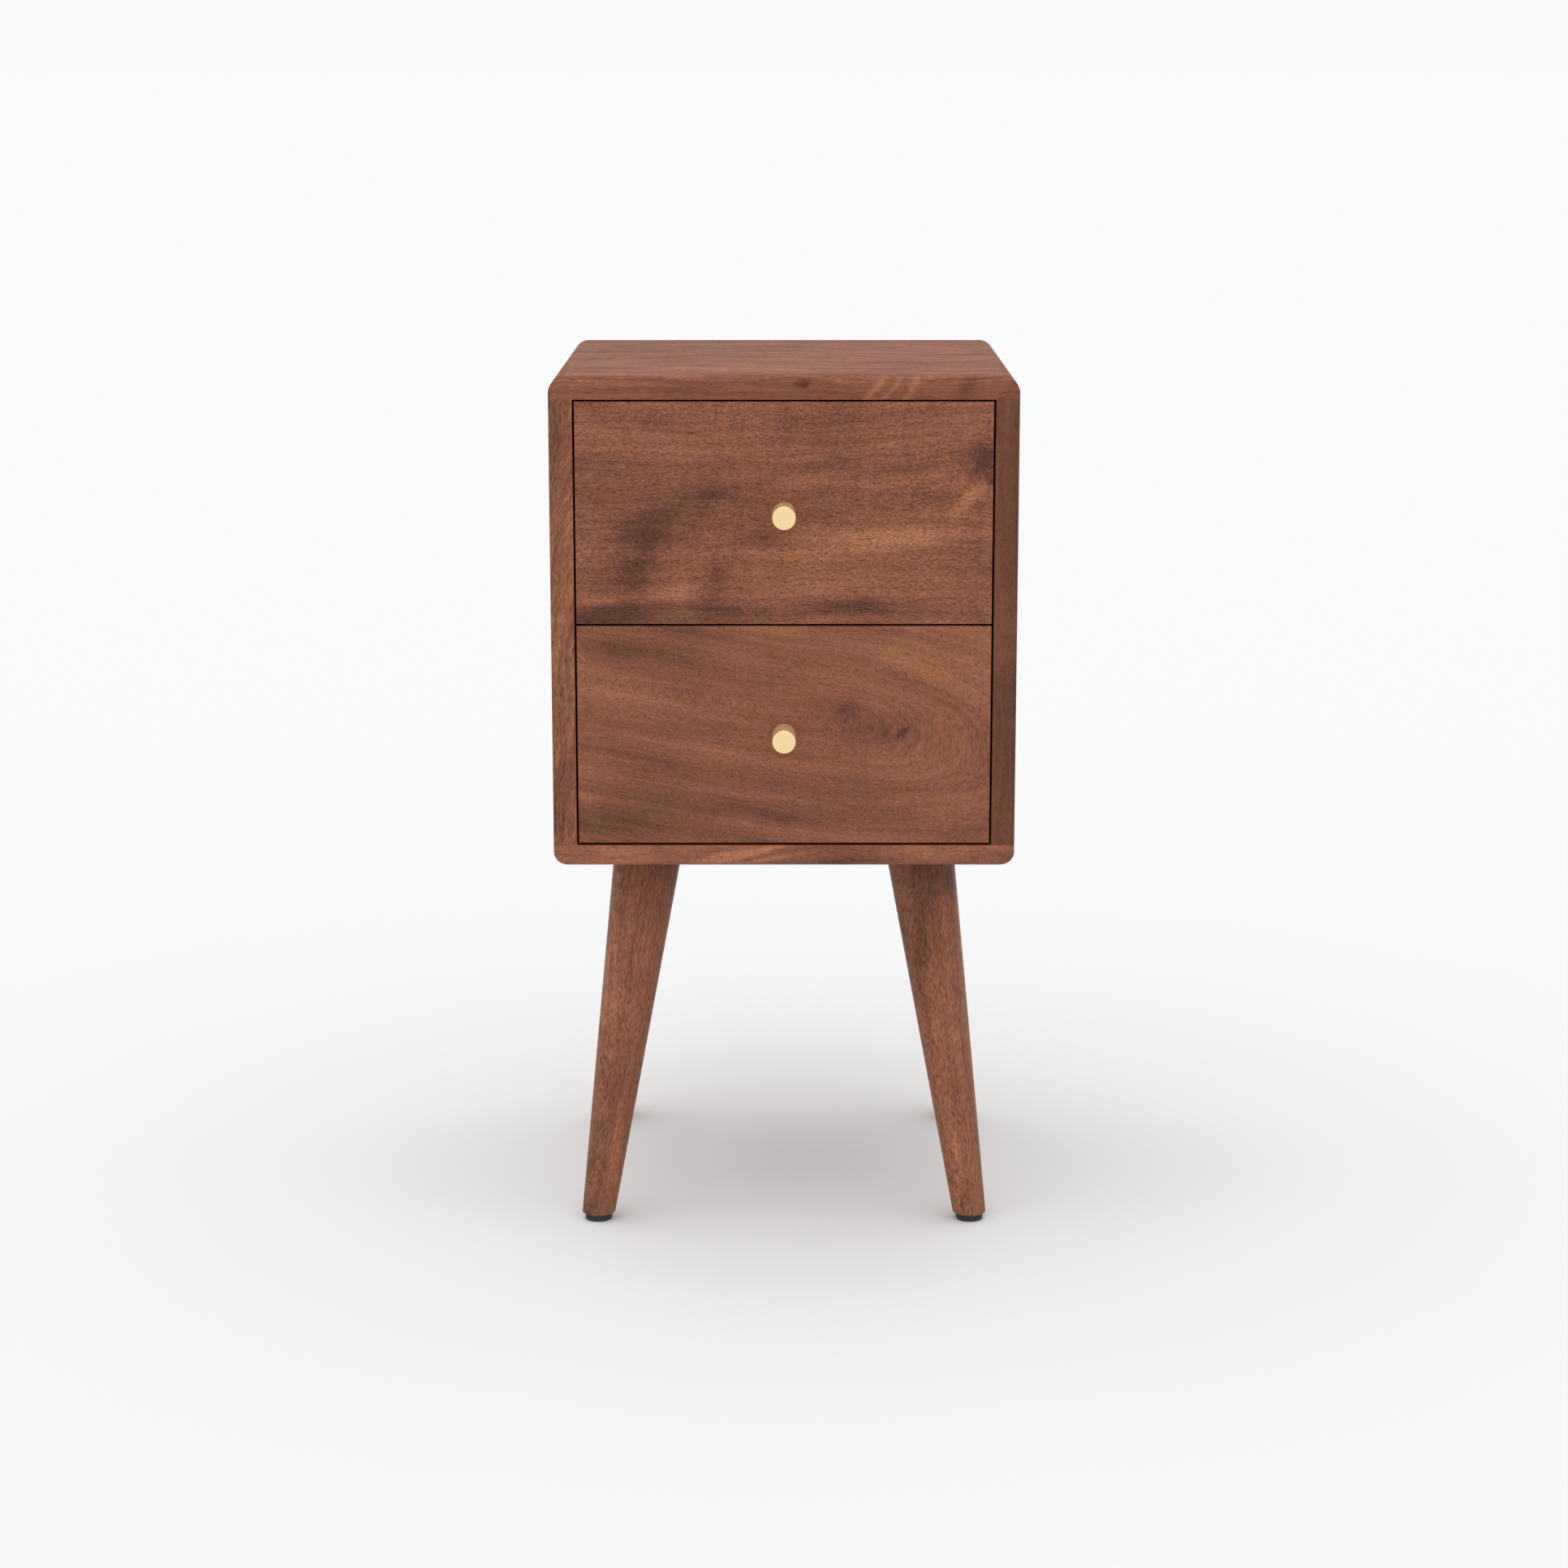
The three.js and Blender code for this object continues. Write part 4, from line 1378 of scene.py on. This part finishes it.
@dataclass
class Leg:
    """A splayed, tapered leg with its plate, bolt and foot glide."""

    corner: Corner
    top_diameter: float = 53.5 * MM
    foot_diameter: float = 26 * MM
    splay: float = math.radians(8)
    spare: float = 20 * MM  # what the blank is longer by at each end
    foot_round: float = 1.1 * MM
    head_round: float = 0.44 * MM
    sides: int = 96
    bolt_hole: float = 4.15 * MM  # radius
    plate_easing: float = 0.35 * MM
    plate_screw_reach: float = 25.5 * MM  # from the plate's middle, both ways
    glide_height: float = 5.25 * MM
    glide_radius: float = 11 * MM
    glide_taper: float = 0.5 * MM
    glide_round: float = 0.9 * MM  # of its lower edge
    glide_arris: float = 0.5 * MM  # of its upper one
    glide_rim: float = 5.6 * MM
    recess: float = 1.6 * MM  # depth under the glide
    nail_radius: float = 3.4 * MM
    nail_low: float = 0.8 * MM
    nail_high: float = 2.2 * MM
    nail_taper: float = 0.8 * MM
    nail_easing: float = 0.4 * MM
    body: str = "case"

    def build(self) -> None:
        """Builds and dresses the leg and its hardware."""
        self.shaft()
        self.plate()
        self.glide()
        dress(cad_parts[self.bolt_node], STEEL.material(Vector()))

    @property
    def node(self) -> str:
        """The leg's node."""
        return f"leg_{self.corner.label}"

    @property
    def plate_node(self) -> str:
        """The node of the leg's plate."""
        return f"leg_plate_{self.corner.label}"

    @property
    def bolt_node(self) -> str:
        """The node of the leg's bolt."""
        return f"leg_bolt_{self.corner.label}"

    def seat(self) -> Vector:
        """Finds where the leg's axis meets the underside of the case.

        Returns:
            The place, in the middle of the leg's plate.
        """
        seat = middle(self.plate_node)
        seat.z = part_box("bottom_panel")[0].z
        return seat

    def axis_point(self, height: float) -> Vector:
        """Finds the point of the leg's axis at a height.

        Args:
            height: The height.

        Returns:
            The point, from the leg's seat and its splay.
        """
        seat = self.seat()
        return seat + self.down_axis(seat.z - height, *self.corner.signs)

    def down_axis(self, drop: float, x_sign: int = -1, y_sign: int = -1) -> Vector:
        """Works out the way down the leg's axis, from its seat.

        Args:
            drop: How far down it goes.
            x_sign: The sign of X at the leg's corner.
            y_sign: The sign of Y there.

        Returns:
            The way, as a vector.
        """
        out = drop * math.tan(self.splay)
        return Vector((x_sign * out, y_sign * out, -drop))

    def shaft(self) -> None:
        """Copies the turned shaft to its corner, a quarter turn on from the one before."""
        low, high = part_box(self.node)
        seat = self.seat()
        place = Matrix.Translation((seat.x, seat.y, 0)) @ Matrix.Rotation(self.corner.turn, 4, "Z")
        leg = Bench.copy(f"{self.node}_shaft", "leg", self.shaft_pattern, place)
        foot, head = self.axis_point(low.z), self.axis_point(high.z)
        straighten = (head - foot).rotation_difference(UP).to_matrix()
        seed = 20.0 + 3.3 * list(Corner).index(self.corner)
        finish = WoodFinish(
            f"{self.node}_wood", RED_BROWN, Grain.UPRIGHT, seed, sway=8.0, lean=0.8, waver=3.4,
            streaks=0.9, fibres=2.3, pores=0.6, dash=0.22, roughness=0.5, shade=1.06,
            # This mark darkens the top of the leg: painted shade where the case above shades it.
            marks=(Mark(160, 0, 60, 400, 0, -0.34),),
        )
        fit(leg, self.body, finish.material((foot + head) / 2, straighten), self.node)

    def shaft_pattern(self) -> bpy.types.Object:
        """Models the front left leg's shaft with its seat over the origin.

        Returns:
            The pattern, cut level at both ends.
        """
        low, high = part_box(self.node)
        seat = UP * self.seat().z
        growth = (self.top_diameter - self.foot_diameter) / 2 / (high.z - low.z) * self.spare
        ends = (low.z - self.spare, high.z + self.spare)
        leg = Bench.rod(
            "leg_pattern", *(seat + self.down_axis(seat.z - end) for end in ends),
            self.foot_diameter / 2 - growth, self.top_diameter / 2 + growth, self.sides,
        )
        self.cut_level(leg, low.z, DOWN)
        self.cut_level(leg, high.z, UP)
        Bench.round_edges(leg, self.foot_round, 4, lambda p: at(p.z, low.z))
        Bench.round_edges(leg, self.head_round, 2, lambda p: at(p.z, high.z))
        hole = (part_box(self.bolt_node)[0].z, seat.z + self.spare)
        Bench.carve(leg, Bench.rod(
            "bolt_hole", *(seat + self.down_axis(seat.z - end) for end in hole),
            self.bolt_hole, sides=32,
        ))
        return Bench.polish(leg)

    @staticmethod
    def cut_level(leg: bpy.types.Object, height: float, outwards: Vector) -> None:
        """Cuts a leg off level and closes the cut.

        Args:
            leg: The leg.
            height: The cut's height.
            outwards: The way to what is thrown away.
        """
        Bench.edit(leg)
        bpy.ops.mesh.bisect(
            plane_co=(0, 0, height), plane_no=outwards, use_fill=True, clear_outer=True,
        )
        Bench.done()

    def plate(self) -> None:
        """Works up the steel plate and drives its four screws."""
        node = self.plate_node
        plate = Bench.from_frame(f"{node}_steel", node, self.plate_easing, 60)
        fit(plate, self.body, ZINC.material(middle(node)), node)
        signs = ((-1, -1), (1, -1), (1, 1), (-1, 1))
        places = [under(node) + Vector((x, y, 0)) * self.plate_screw_reach for x, y in signs]
        SCREW.drive(f"plate_screw_{self.corner.label}", places, DOWN, self.body, step=29.0)

    def glide(self) -> None:
        """Puts the black glide and its nail under the foot."""
        node = f"foot_glide_{self.corner.label}"
        foot = under(node)
        place = Matrix.Translation(foot)
        glide = Bench.copy(f"{node}_pad", "glide", self.glide_pattern, place)
        fit(glide, self.body, BLACK.material(foot), node)
        nail = Bench.copy(f"glide_nail_{self.corner.label}", "nail", self.nail_pattern, place)
        fit(nail, self.body, STEEL.material(foot))

    def glide_pattern(self) -> bpy.types.Object:
        """Models a glide standing on the origin, with a recess under it for its nail's head.

        Returns:
            The pattern.
        """
        top = UP * self.glide_height
        glide = Bench.rod(
            "glide_pattern", Vector(), top, self.glide_radius - self.glide_taper,
            self.glide_radius, 64,
        )
        Bench.round_edges(glide, self.glide_round, 4, lambda p: at(p.z, 0))
        Bench.round_edges(glide, self.glide_arris, 2, lambda p: at(p.z, top.z))
        Bench.sink(glide, lambda p: at(p.z, 0), self.glide_rim, UP * self.recess)
        return Bench.polish(glide)

    def nail_pattern(self) -> bpy.types.Object:
        """Models the nail's head in the glide's recess.

        Returns:
            The pattern.
        """
        nail = Bench.rod(
            "nail_pattern", UP * self.nail_low, UP * self.nail_high,
            self.nail_radius - self.nail_taper, self.nail_radius, 32,
        )
        return Bench.polish(Bench.ease(nail, self.nail_easing, 2, 50))


# ---- Runners ----


@dataclass
class Runner:
    """One telescopic runner: three rolled members, their ball cages and screws."""

    level: Level
    side: Side
    ball: float = 1.5 * MM  # radius
    balls: int = 9
    ball_pitch: float = 8 * MM
    cage_inset: float = 12 * MM
    steel: float = 1.25 * MM  # thickness of the members
    easing: float = 0.3 * MM
    strip: tuple[float, float] = (2.4 * MM, 0.5 * MM)  # width and thickness of a cage's strip
    strip_easing: float = 0.1 * MM
    outer_race: float = 3.5 * MM  # balls' middles in from the middle member's two edges
    inner_race: float = 1.25 * MM
    screw_shares: tuple[float, ...] = (0.08, 0.42, 0.9)  # places of its screws along it

    def build(self) -> None:
        """Builds and dresses the runner."""
        sliding, drawer = f"{self.level}_runner_middle", f"{self.level}_drawer"
        for member, body in zip(Member, ("case", sliding, drawer)):
            node = self.node(member)
            rail = Bench.from_frame(f"{node}_rail", node, self.easing, 50)
            fit(rail, body, ZINC.material(middle(node)), node)
        self.cage(Member.OUTER, sliding)
        self.cage(Member.INNER, sliding)
        self.screws(drawer)

    def node(self, member: Member) -> str:
        """The node of one of the runner's members."""
        return f"{self.level}_runner_{member}_{self.side.label}"

    def cage(self, member: Member, body: str) -> None:
        """Models the strips of balls between the middle member and another.

        Args:
            member: The other member, the outer or the inner one.
            body: The body they ride on.
        """
        other_low, other_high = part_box(self.node(member))
        low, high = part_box(self.node(Member.MIDDLE))
        centre = (other_low + other_high) / 2
        height = (other_high.z - other_low.z + high.z - low.z) / 4 - self.steel / 2
        nearest, furthest = sorted((abs(low.x), abs(high.x)))
        span = (self.balls - 1) * self.ball_pitch
        if member is Member.OUTER:  # its cage is at the rear, further out
            x = self.side.sign * (furthest - self.outer_race)
            start = high.y - self.cage_inset - span
        else:
            x = self.side.sign * (nearest + self.inner_race)
            start = low.y + self.cage_inset
        pieces = []
        for z in (centre.z - height, centre.z + height):
            for number in range(self.balls):
                place = Matrix.Translation((x, start + number * self.ball_pitch, z))
                pieces.append(Bench.copy("ball", "ball", self.ball_pattern, place))
            width, thickness = self.strip
            half = Vector((width, span + self.ball_pitch, thickness)) / 2
            heart = Vector((x, start + span / 2, z))
            strip = Bench.block("strip", heart - half, heart + half)
            pieces.append(Bench.ease(strip, self.strip_easing, 1))
        cage = Bench.join(f"{self.level}_ball_cage_{member}_{self.side.label}", pieces)
        Bench.polish(cage, 50)
        fit(cage, body, STEEL.material(centre))

    def ball_pattern(self) -> bpy.types.Object:
        """Models a ball at the origin, with few faces as there are many.

        Returns:
            The pattern.
        """
        bpy.ops.object.select_all(action="DESELECT")
        bpy.ops.mesh.primitive_uv_sphere_add(segments=10, ring_count=6, radius=self.ball)
        return Bench.settle("ball_pattern")

    def screws(self, body: str) -> None:
        """Drives the screws that hold the inner member to the drawer's side.

        Args:
            body: The drawer's body.
        """
        low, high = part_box(self.node(Member.INNER))
        web = self.side.sign * (min(abs(low.x), abs(high.x)) + self.steel)
        places = [
            Vector((web, low.y + (high.y - low.y) * share, (low.z + high.z) / 2))
            for share in self.screw_shares
        ]
        SCREW.drive(
            f"{self.level}_runner_screw_{self.side.label}", places,
            Vector((self.side.sign, 0, 0)), body, step=51.0,
        )


# ---- Drawers ----


@dataclass
class Drawer:
    """A drawer: its front, dovetailed box, bottom and knob."""

    level: Level
    finish: WoodFinish  # of its front
    seed: float  # of its box's boards
    arris: float = 0.6 * MM
    rear_arris: float = 0.36 * MM
    box_easing: float = 0.35 * MM
    bottom_easing: float = 0.4 * MM
    knob_radius: float = 9 * MM
    knob_round: float = 1.1 * MM  # of its face's rim
    knob_arris: float = 0.35 * MM  # where it meets the front
    shank: float = 1.9 * MM  # radius of the knob's screw
    head: float = 3.2 * MM  # least radius of its head
    head_easing: float = 0.5 * MM
    cross: tuple[float, float, float] = (2.4 * MM, 1.2 * MM, 0.5 * MM)  # its recess's half sizes
    hole_room: float = 0.15 * MM  # round the screw
    front_screws_at: tuple[tuple[float, float], ...] = (
        (0.18, 0.3), (0.82, 0.3), (0.18, 0.75), (0.82, 0.75),
    )  # shares of the box front's width and height

    @property
    def body(self) -> str:
        """The body that the drawer's pieces ride on."""
        return f"{self.level}_drawer"

    def build(self) -> None:
        """Builds and dresses the drawer."""
        self.front()
        self.box_boards()
        self.box_bottom()
        self.knob()
        self.knob_screw()
        self.front_screws()

    def front(self) -> None:
        """Models the drawer front, eased all round."""
        node = f"{self.level}_drawer_front"
        low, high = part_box(node)
        board = Bench.block(f"{node}_board", low, high)
        Bench.round_edges(board, self.arris, 3, lambda p: at(p.y, low.y))
        Bench.round_edges(board, self.rear_arris, 2, lambda p: at(p.y, high.y))
        Bench.polish(Bench.carve(board, self.screw_hole(self.on_axis("knob_screw"))))
        fit(board, self.body, self.finish.material(middle(node)), node)

    def on_axis(self, piece: str) -> Vector:
        """Finds where a turned piece's axis meets the plane of Y = 0.

        Args:
            piece: The piece's name in its node's name.

        Returns:
            The place.
        """
        spot = middle(f"{self.level}_{piece}")
        spot.y = 0
        return spot

    def screw_hole(self, place: Vector) -> bpy.types.Object:
        """Models the hole that the knob's screw fills, as a cutter.

        Args:
            place: A place on its axis.

        Returns:
            The cutter, as long as the screw.
        """
        low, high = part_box(f"{self.level}_knob_screw")
        return Bench.rod(
            "screw_hole", place + REARWARDS * low.y, place + REARWARDS * high.y,
            self.shank + self.hole_room, sides=32,
        )

    def box_boards(self) -> None:
        """Works up the dovetailed boards of the box."""
        for number, (part, grain) in enumerate((
            ("front", Grain.ACROSS), ("rear", Grain.ACROSS),
            ("side_left", Grain.DEEP), ("side_right", Grain.DEEP),
        )):
            node = f"{self.level}_box_{part}"
            board = Bench.from_frame(f"{node}_board", node, self.box_easing, 60)
            finish = WoodFinish(
                f"{node}_wood", PALE, grain, self.seed + 1.7 * number, lean=0.8, sway=9.0,
                bands=0.6, streaks=0.6, fibres=0.8, pores=0.2, dash=0.2, ripple=0.1,
                roughness=0.6,
            )
            fit(board, self.body, finish.material(middle(node)), node)

    def box_bottom(self) -> None:
        """Models the thin bottom in the box's grooves."""
        node = f"{self.level}_box_bottom"
        sheet = Bench.block(f"{node}_sheet", *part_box(node))
        Bench.polish(Bench.ease(sheet, self.bottom_easing))
        finish = WoodFinish(
            f"{node}_wood", VENEER, Grain.ACROSS, self.seed + 9.0, lean=0.8, bands=0.8, fibres=1.0,
            dash=0.2, roughness=0.64,
        )
        fit(sheet, self.body, finish.material(middle(node)), node)

    def knob(self) -> None:
        """Puts the round brass knob on the front."""
        node = f"{self.level}_knob"
        place = Matrix.Translation(self.on_axis("knob"))
        knob = Bench.copy(f"{node}_turning", "knob", self.knob_pattern, place)
        fit(knob, self.body, BRASS.material(middle(node)), node)

    def knob_pattern(self) -> bpy.types.Object:
        """Models the knob on the Y axis: a plain cylinder with a softly turned rim.

        Returns:
            The pattern.
        """
        low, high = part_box(f"{self.level}_knob")
        knob = Bench.rod(
            "knob_pattern", REARWARDS * high.y, REARWARDS * low.y, self.knob_radius, sides=128,
        )
        Bench.round_edges(knob, self.knob_round, 6, lambda p: at(p.y, low.y))
        Bench.round_edges(knob, self.knob_arris, 2, lambda p: at(p.y, high.y))
        return Bench.polish(Bench.carve(knob, self.screw_hole(Vector())))

    def knob_screw(self) -> None:
        """Puts the knob's screw through the front."""
        node = f"{self.level}_knob_screw"
        place = Matrix.Translation(self.on_axis("knob_screw"))
        screw = Bench.copy(f"{node}_bright", "knob_screw", self.knob_screw_pattern, place)
        fit(screw, self.body, ZINC.material(middle(node)), node)

    def knob_screw_pattern(self) -> bpy.types.Object:
        """Models the knob's screw on the Y axis, with its domed head inside the drawer.

        Returns:
            The pattern.
        """
        low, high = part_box(f"{self.level}_knob_screw")
        seat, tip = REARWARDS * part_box(f"{self.level}_box_front")[1].y, REARWARDS * high.y
        shank = Bench.rod("shank", REARWARDS * low.y, seat, self.shank, sides=24)
        head = Bench.rod("head", seat, tip, (high.x - low.x) / 2, self.head, 40)
        Bench.ease(head, self.head_easing, 3, 30)
        for arm in (Vector(self.cross), Vector(self.cross[::-1])):
            Bench.carve(head, Bench.block("arm", tip - arm, tip + arm))
        return Bench.polish(Bench.join("knob_screw_pattern", [shank, head]), 35)

    def front_screws(self) -> None:
        """Drives the screws that hold the drawer front to the box."""
        low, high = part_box(f"{self.level}_box_front")
        size = high - low
        places = [
            Vector((low.x + size.x * across, high.y, low.z + size.z * up))
            for across, up in self.front_screws_at
        ]
        SCREW.drive(
            f"{self.level}_front_screw", places, REARWARDS, self.body, step=40.0, first=23.0,
        )


def upper_finish() -> WoodFinish:
    """Describes the upper front: rippled, with a smoky sweep and a swirl at its right end.

    Returns:
        Its finish.
    """
    return WoodFinish(
        "upper_front_wood", RED_BROWN, Grain.ACROSS, 31.0, sway=11.0, bands=0.7, streaks=0.65,
        fibres=2.6, pores=0.4, ripple=0.2, dash=0.36, lean=0.6,
        marks=(
            Mark(160, 24, 22.0, 15.0, 0, 0.0, 1.0),
            Mark(152, 37, 20.0, 13.0, 70, -0.46),
            Mark(158, 25, 4.0, 3.0, 40, -0.5),
            Mark(140, 11, 16.0, 5.0, 48, 0.55),
            Mark(-114, -34, 48.0, 24.0, 76, -0.30),
            Mark(-106, -28, 26.0, 9.0, 84, -0.14),
            Mark(-76, 0, 52.0, 20.0, 32, -0.26),
            Mark(-10, 26, 50.0, 5.0, 14, -0.18),
            Mark(-140, -78, 44.0, 9.0, 4, -0.5),
            Mark(-54, -52, 18.0, 11.0, 60, -0.34),
            Mark(-17, -17, 18.0, 6.0, 8, -0.34),
            Mark(59, -72, 46.0, 6.0, 0, -0.40),
            Mark(-30, -75, 40.0, 4.5, -4, -0.30),
            Mark(70, -22, 62.0, 9.0, 7, 0.28),
            Mark(-84, -60, 36.0, 7.0, 8, 0.36),
            Mark(-140, -66, 20.0, 4.0, 4, 0.36),
            Mark(30, -54, 50.0, 6.0, 3, 0.24),
            Mark(-70, 46, 60.0, 14.0, -6, 0.14),
            Mark(96, 34, 34.0, 4.0, 8, -0.22),
        ),
    )


def lower_finish() -> WoodFinish:
    """Describes the lower front: smooth, with long ovals sweeping round a small knot.

    Returns:
        Its finish.
    """
    return WoodFinish(
        "lower_front_wood", RED_BROWN, Grain.ACROSS, 47.0, lean=0.6, sway=7.0, bands=0.6,
        streaks=0.55, fibres=1.65, pores=0.35, ripple=0.1, slope=0.17,
        eye=Eye(91, 1, 40, 0.42),
        marks=(
            Mark(91, 2, 5.0, 1.7, 38, -0.95),
            Mark(88, 3, 20.0, 12.0, 0, -0.34),
            Mark(48, 21, 13.0, 7.0, 30, -0.24),
            Mark(-60, -34, 90.0, 18.0, -14, -0.20),
            Mark(-120, -70, 60.0, 18.0, 0, -0.30),
            Mark(102, 60, 80.0, 18.0, -3, 0.10),
            Mark(-90, 24, 80.0, 6.0, -14, 0.16),
            Mark(-80, -8, 90.0, 4.0, -14, 0.18),
            Mark(0, -50, 60.0, 3.0, -8, 0.18),
            Mark(-120, 62, 44.0, 12.0, 0, -0.14),
            Mark(60, -60, 70.0, 9.0, -4, -0.14),
            Mark(-154.5, 60.5, 3.2, 0.45, -38, 1.0),
        ),
    )


# ---- Studio ----


@dataclass
class Studio:
    """A pale floor under an even white sky, with one soft light from overhead."""

    white: float = 0.956  # the sky's strength
    lamp_share: float = 0.33  # of the sky's light on the floor
    lamp_spread: float = math.radians(70)
    lamp_lean: float = math.radians(5)  # forwards and to the left
    floor_colour: Colour = (0.755, 0.757, 0.758)
    camera_back: float = 2.6648  # in front of the drawers' faces
    camera_height: float = 0.9109
    lens: float = 81.1  # focal length in millimetres
    down: float = math.radians(11.63)  # how far the camera looks down
    floor_size: float = 400.0

    def build(self) -> None:
        """Sets up the floor, the sky, the light and the camera."""
        self.floor()
        self.sky()
        self.lamp()
        self.camera()
        bpy.context.scene.view_settings.view_transform = "Standard"

    def floor(self) -> None:
        """Lays the floor."""
        bpy.ops.object.select_all(action="DESELECT")
        bpy.ops.mesh.primitive_plane_add(size=self.floor_size, location=(0, 0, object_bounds()[0].z))
        floor = Bench.settle("floor")
        recipe = Recipe("floor_paper")
        recipe.set(Base_Color=(*self.floor_colour, 1.0), Roughness=1.0, Specular_IOR_Level=0.0)
        dress(floor, recipe.material)
        floor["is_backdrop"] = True

    def sky(self) -> None:
        """Lights the scene evenly from all round."""
        world = bpy.data.worlds.new("white_sky")
        bpy.context.scene.world = world
        world.use_nodes = True
        background = world.node_tree.nodes["Background"].inputs
        background["Color"].default_value = (1, 1, 1, 1)
        background["Strength"].default_value = self.white

    def lamp(self) -> None:
        """Hangs the one soft light."""
        light = bpy.data.lights.new("overhead", "SUN")
        light.energy = self.white * math.pi * self.lamp_share
        light.angle = self.lamp_spread
        lamp = bpy.data.objects.new("overhead", light)
        bpy.context.scene.collection.objects.link(lamp)
        lamp.rotation_euler = (self.lamp_lean, -self.lamp_lean, 0)

    def camera(self) -> None:
        """Stands the camera in front, a little above the top, looking down at the middle."""
        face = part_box("upper_drawer_front")[0].y
        data = bpy.data.cameras.new("camera")
        data.lens = self.lens
        camera = bpy.data.objects.new("camera", data)
        bpy.context.scene.collection.objects.link(camera)
        camera.location = (0, face - self.camera_back, self.camera_height)
        camera.rotation_euler = (math.pi / 2 - self.down, 0, 0)
        bpy.context.scene.camera = camera


def main() -> None:
    """Builds the nightstand round its frame."""
    logging.basicConfig(level=logging.INFO, format="%(name)s: %(message)s")
    Studio().build()
    Case().build()
    for corner in Corner:
        Leg(corner).build()
    drawers = (
        Drawer(Level.UPPER, upper_finish(), 61.0),
        Drawer(Level.LOWER, lower_finish(), 83.0),
    )
    for drawer in drawers:
        drawer.build()
        for side in Side:
            Runner(drawer.level, side).build()
    Bench.clear()


if __name__ == "__main__":
    main()
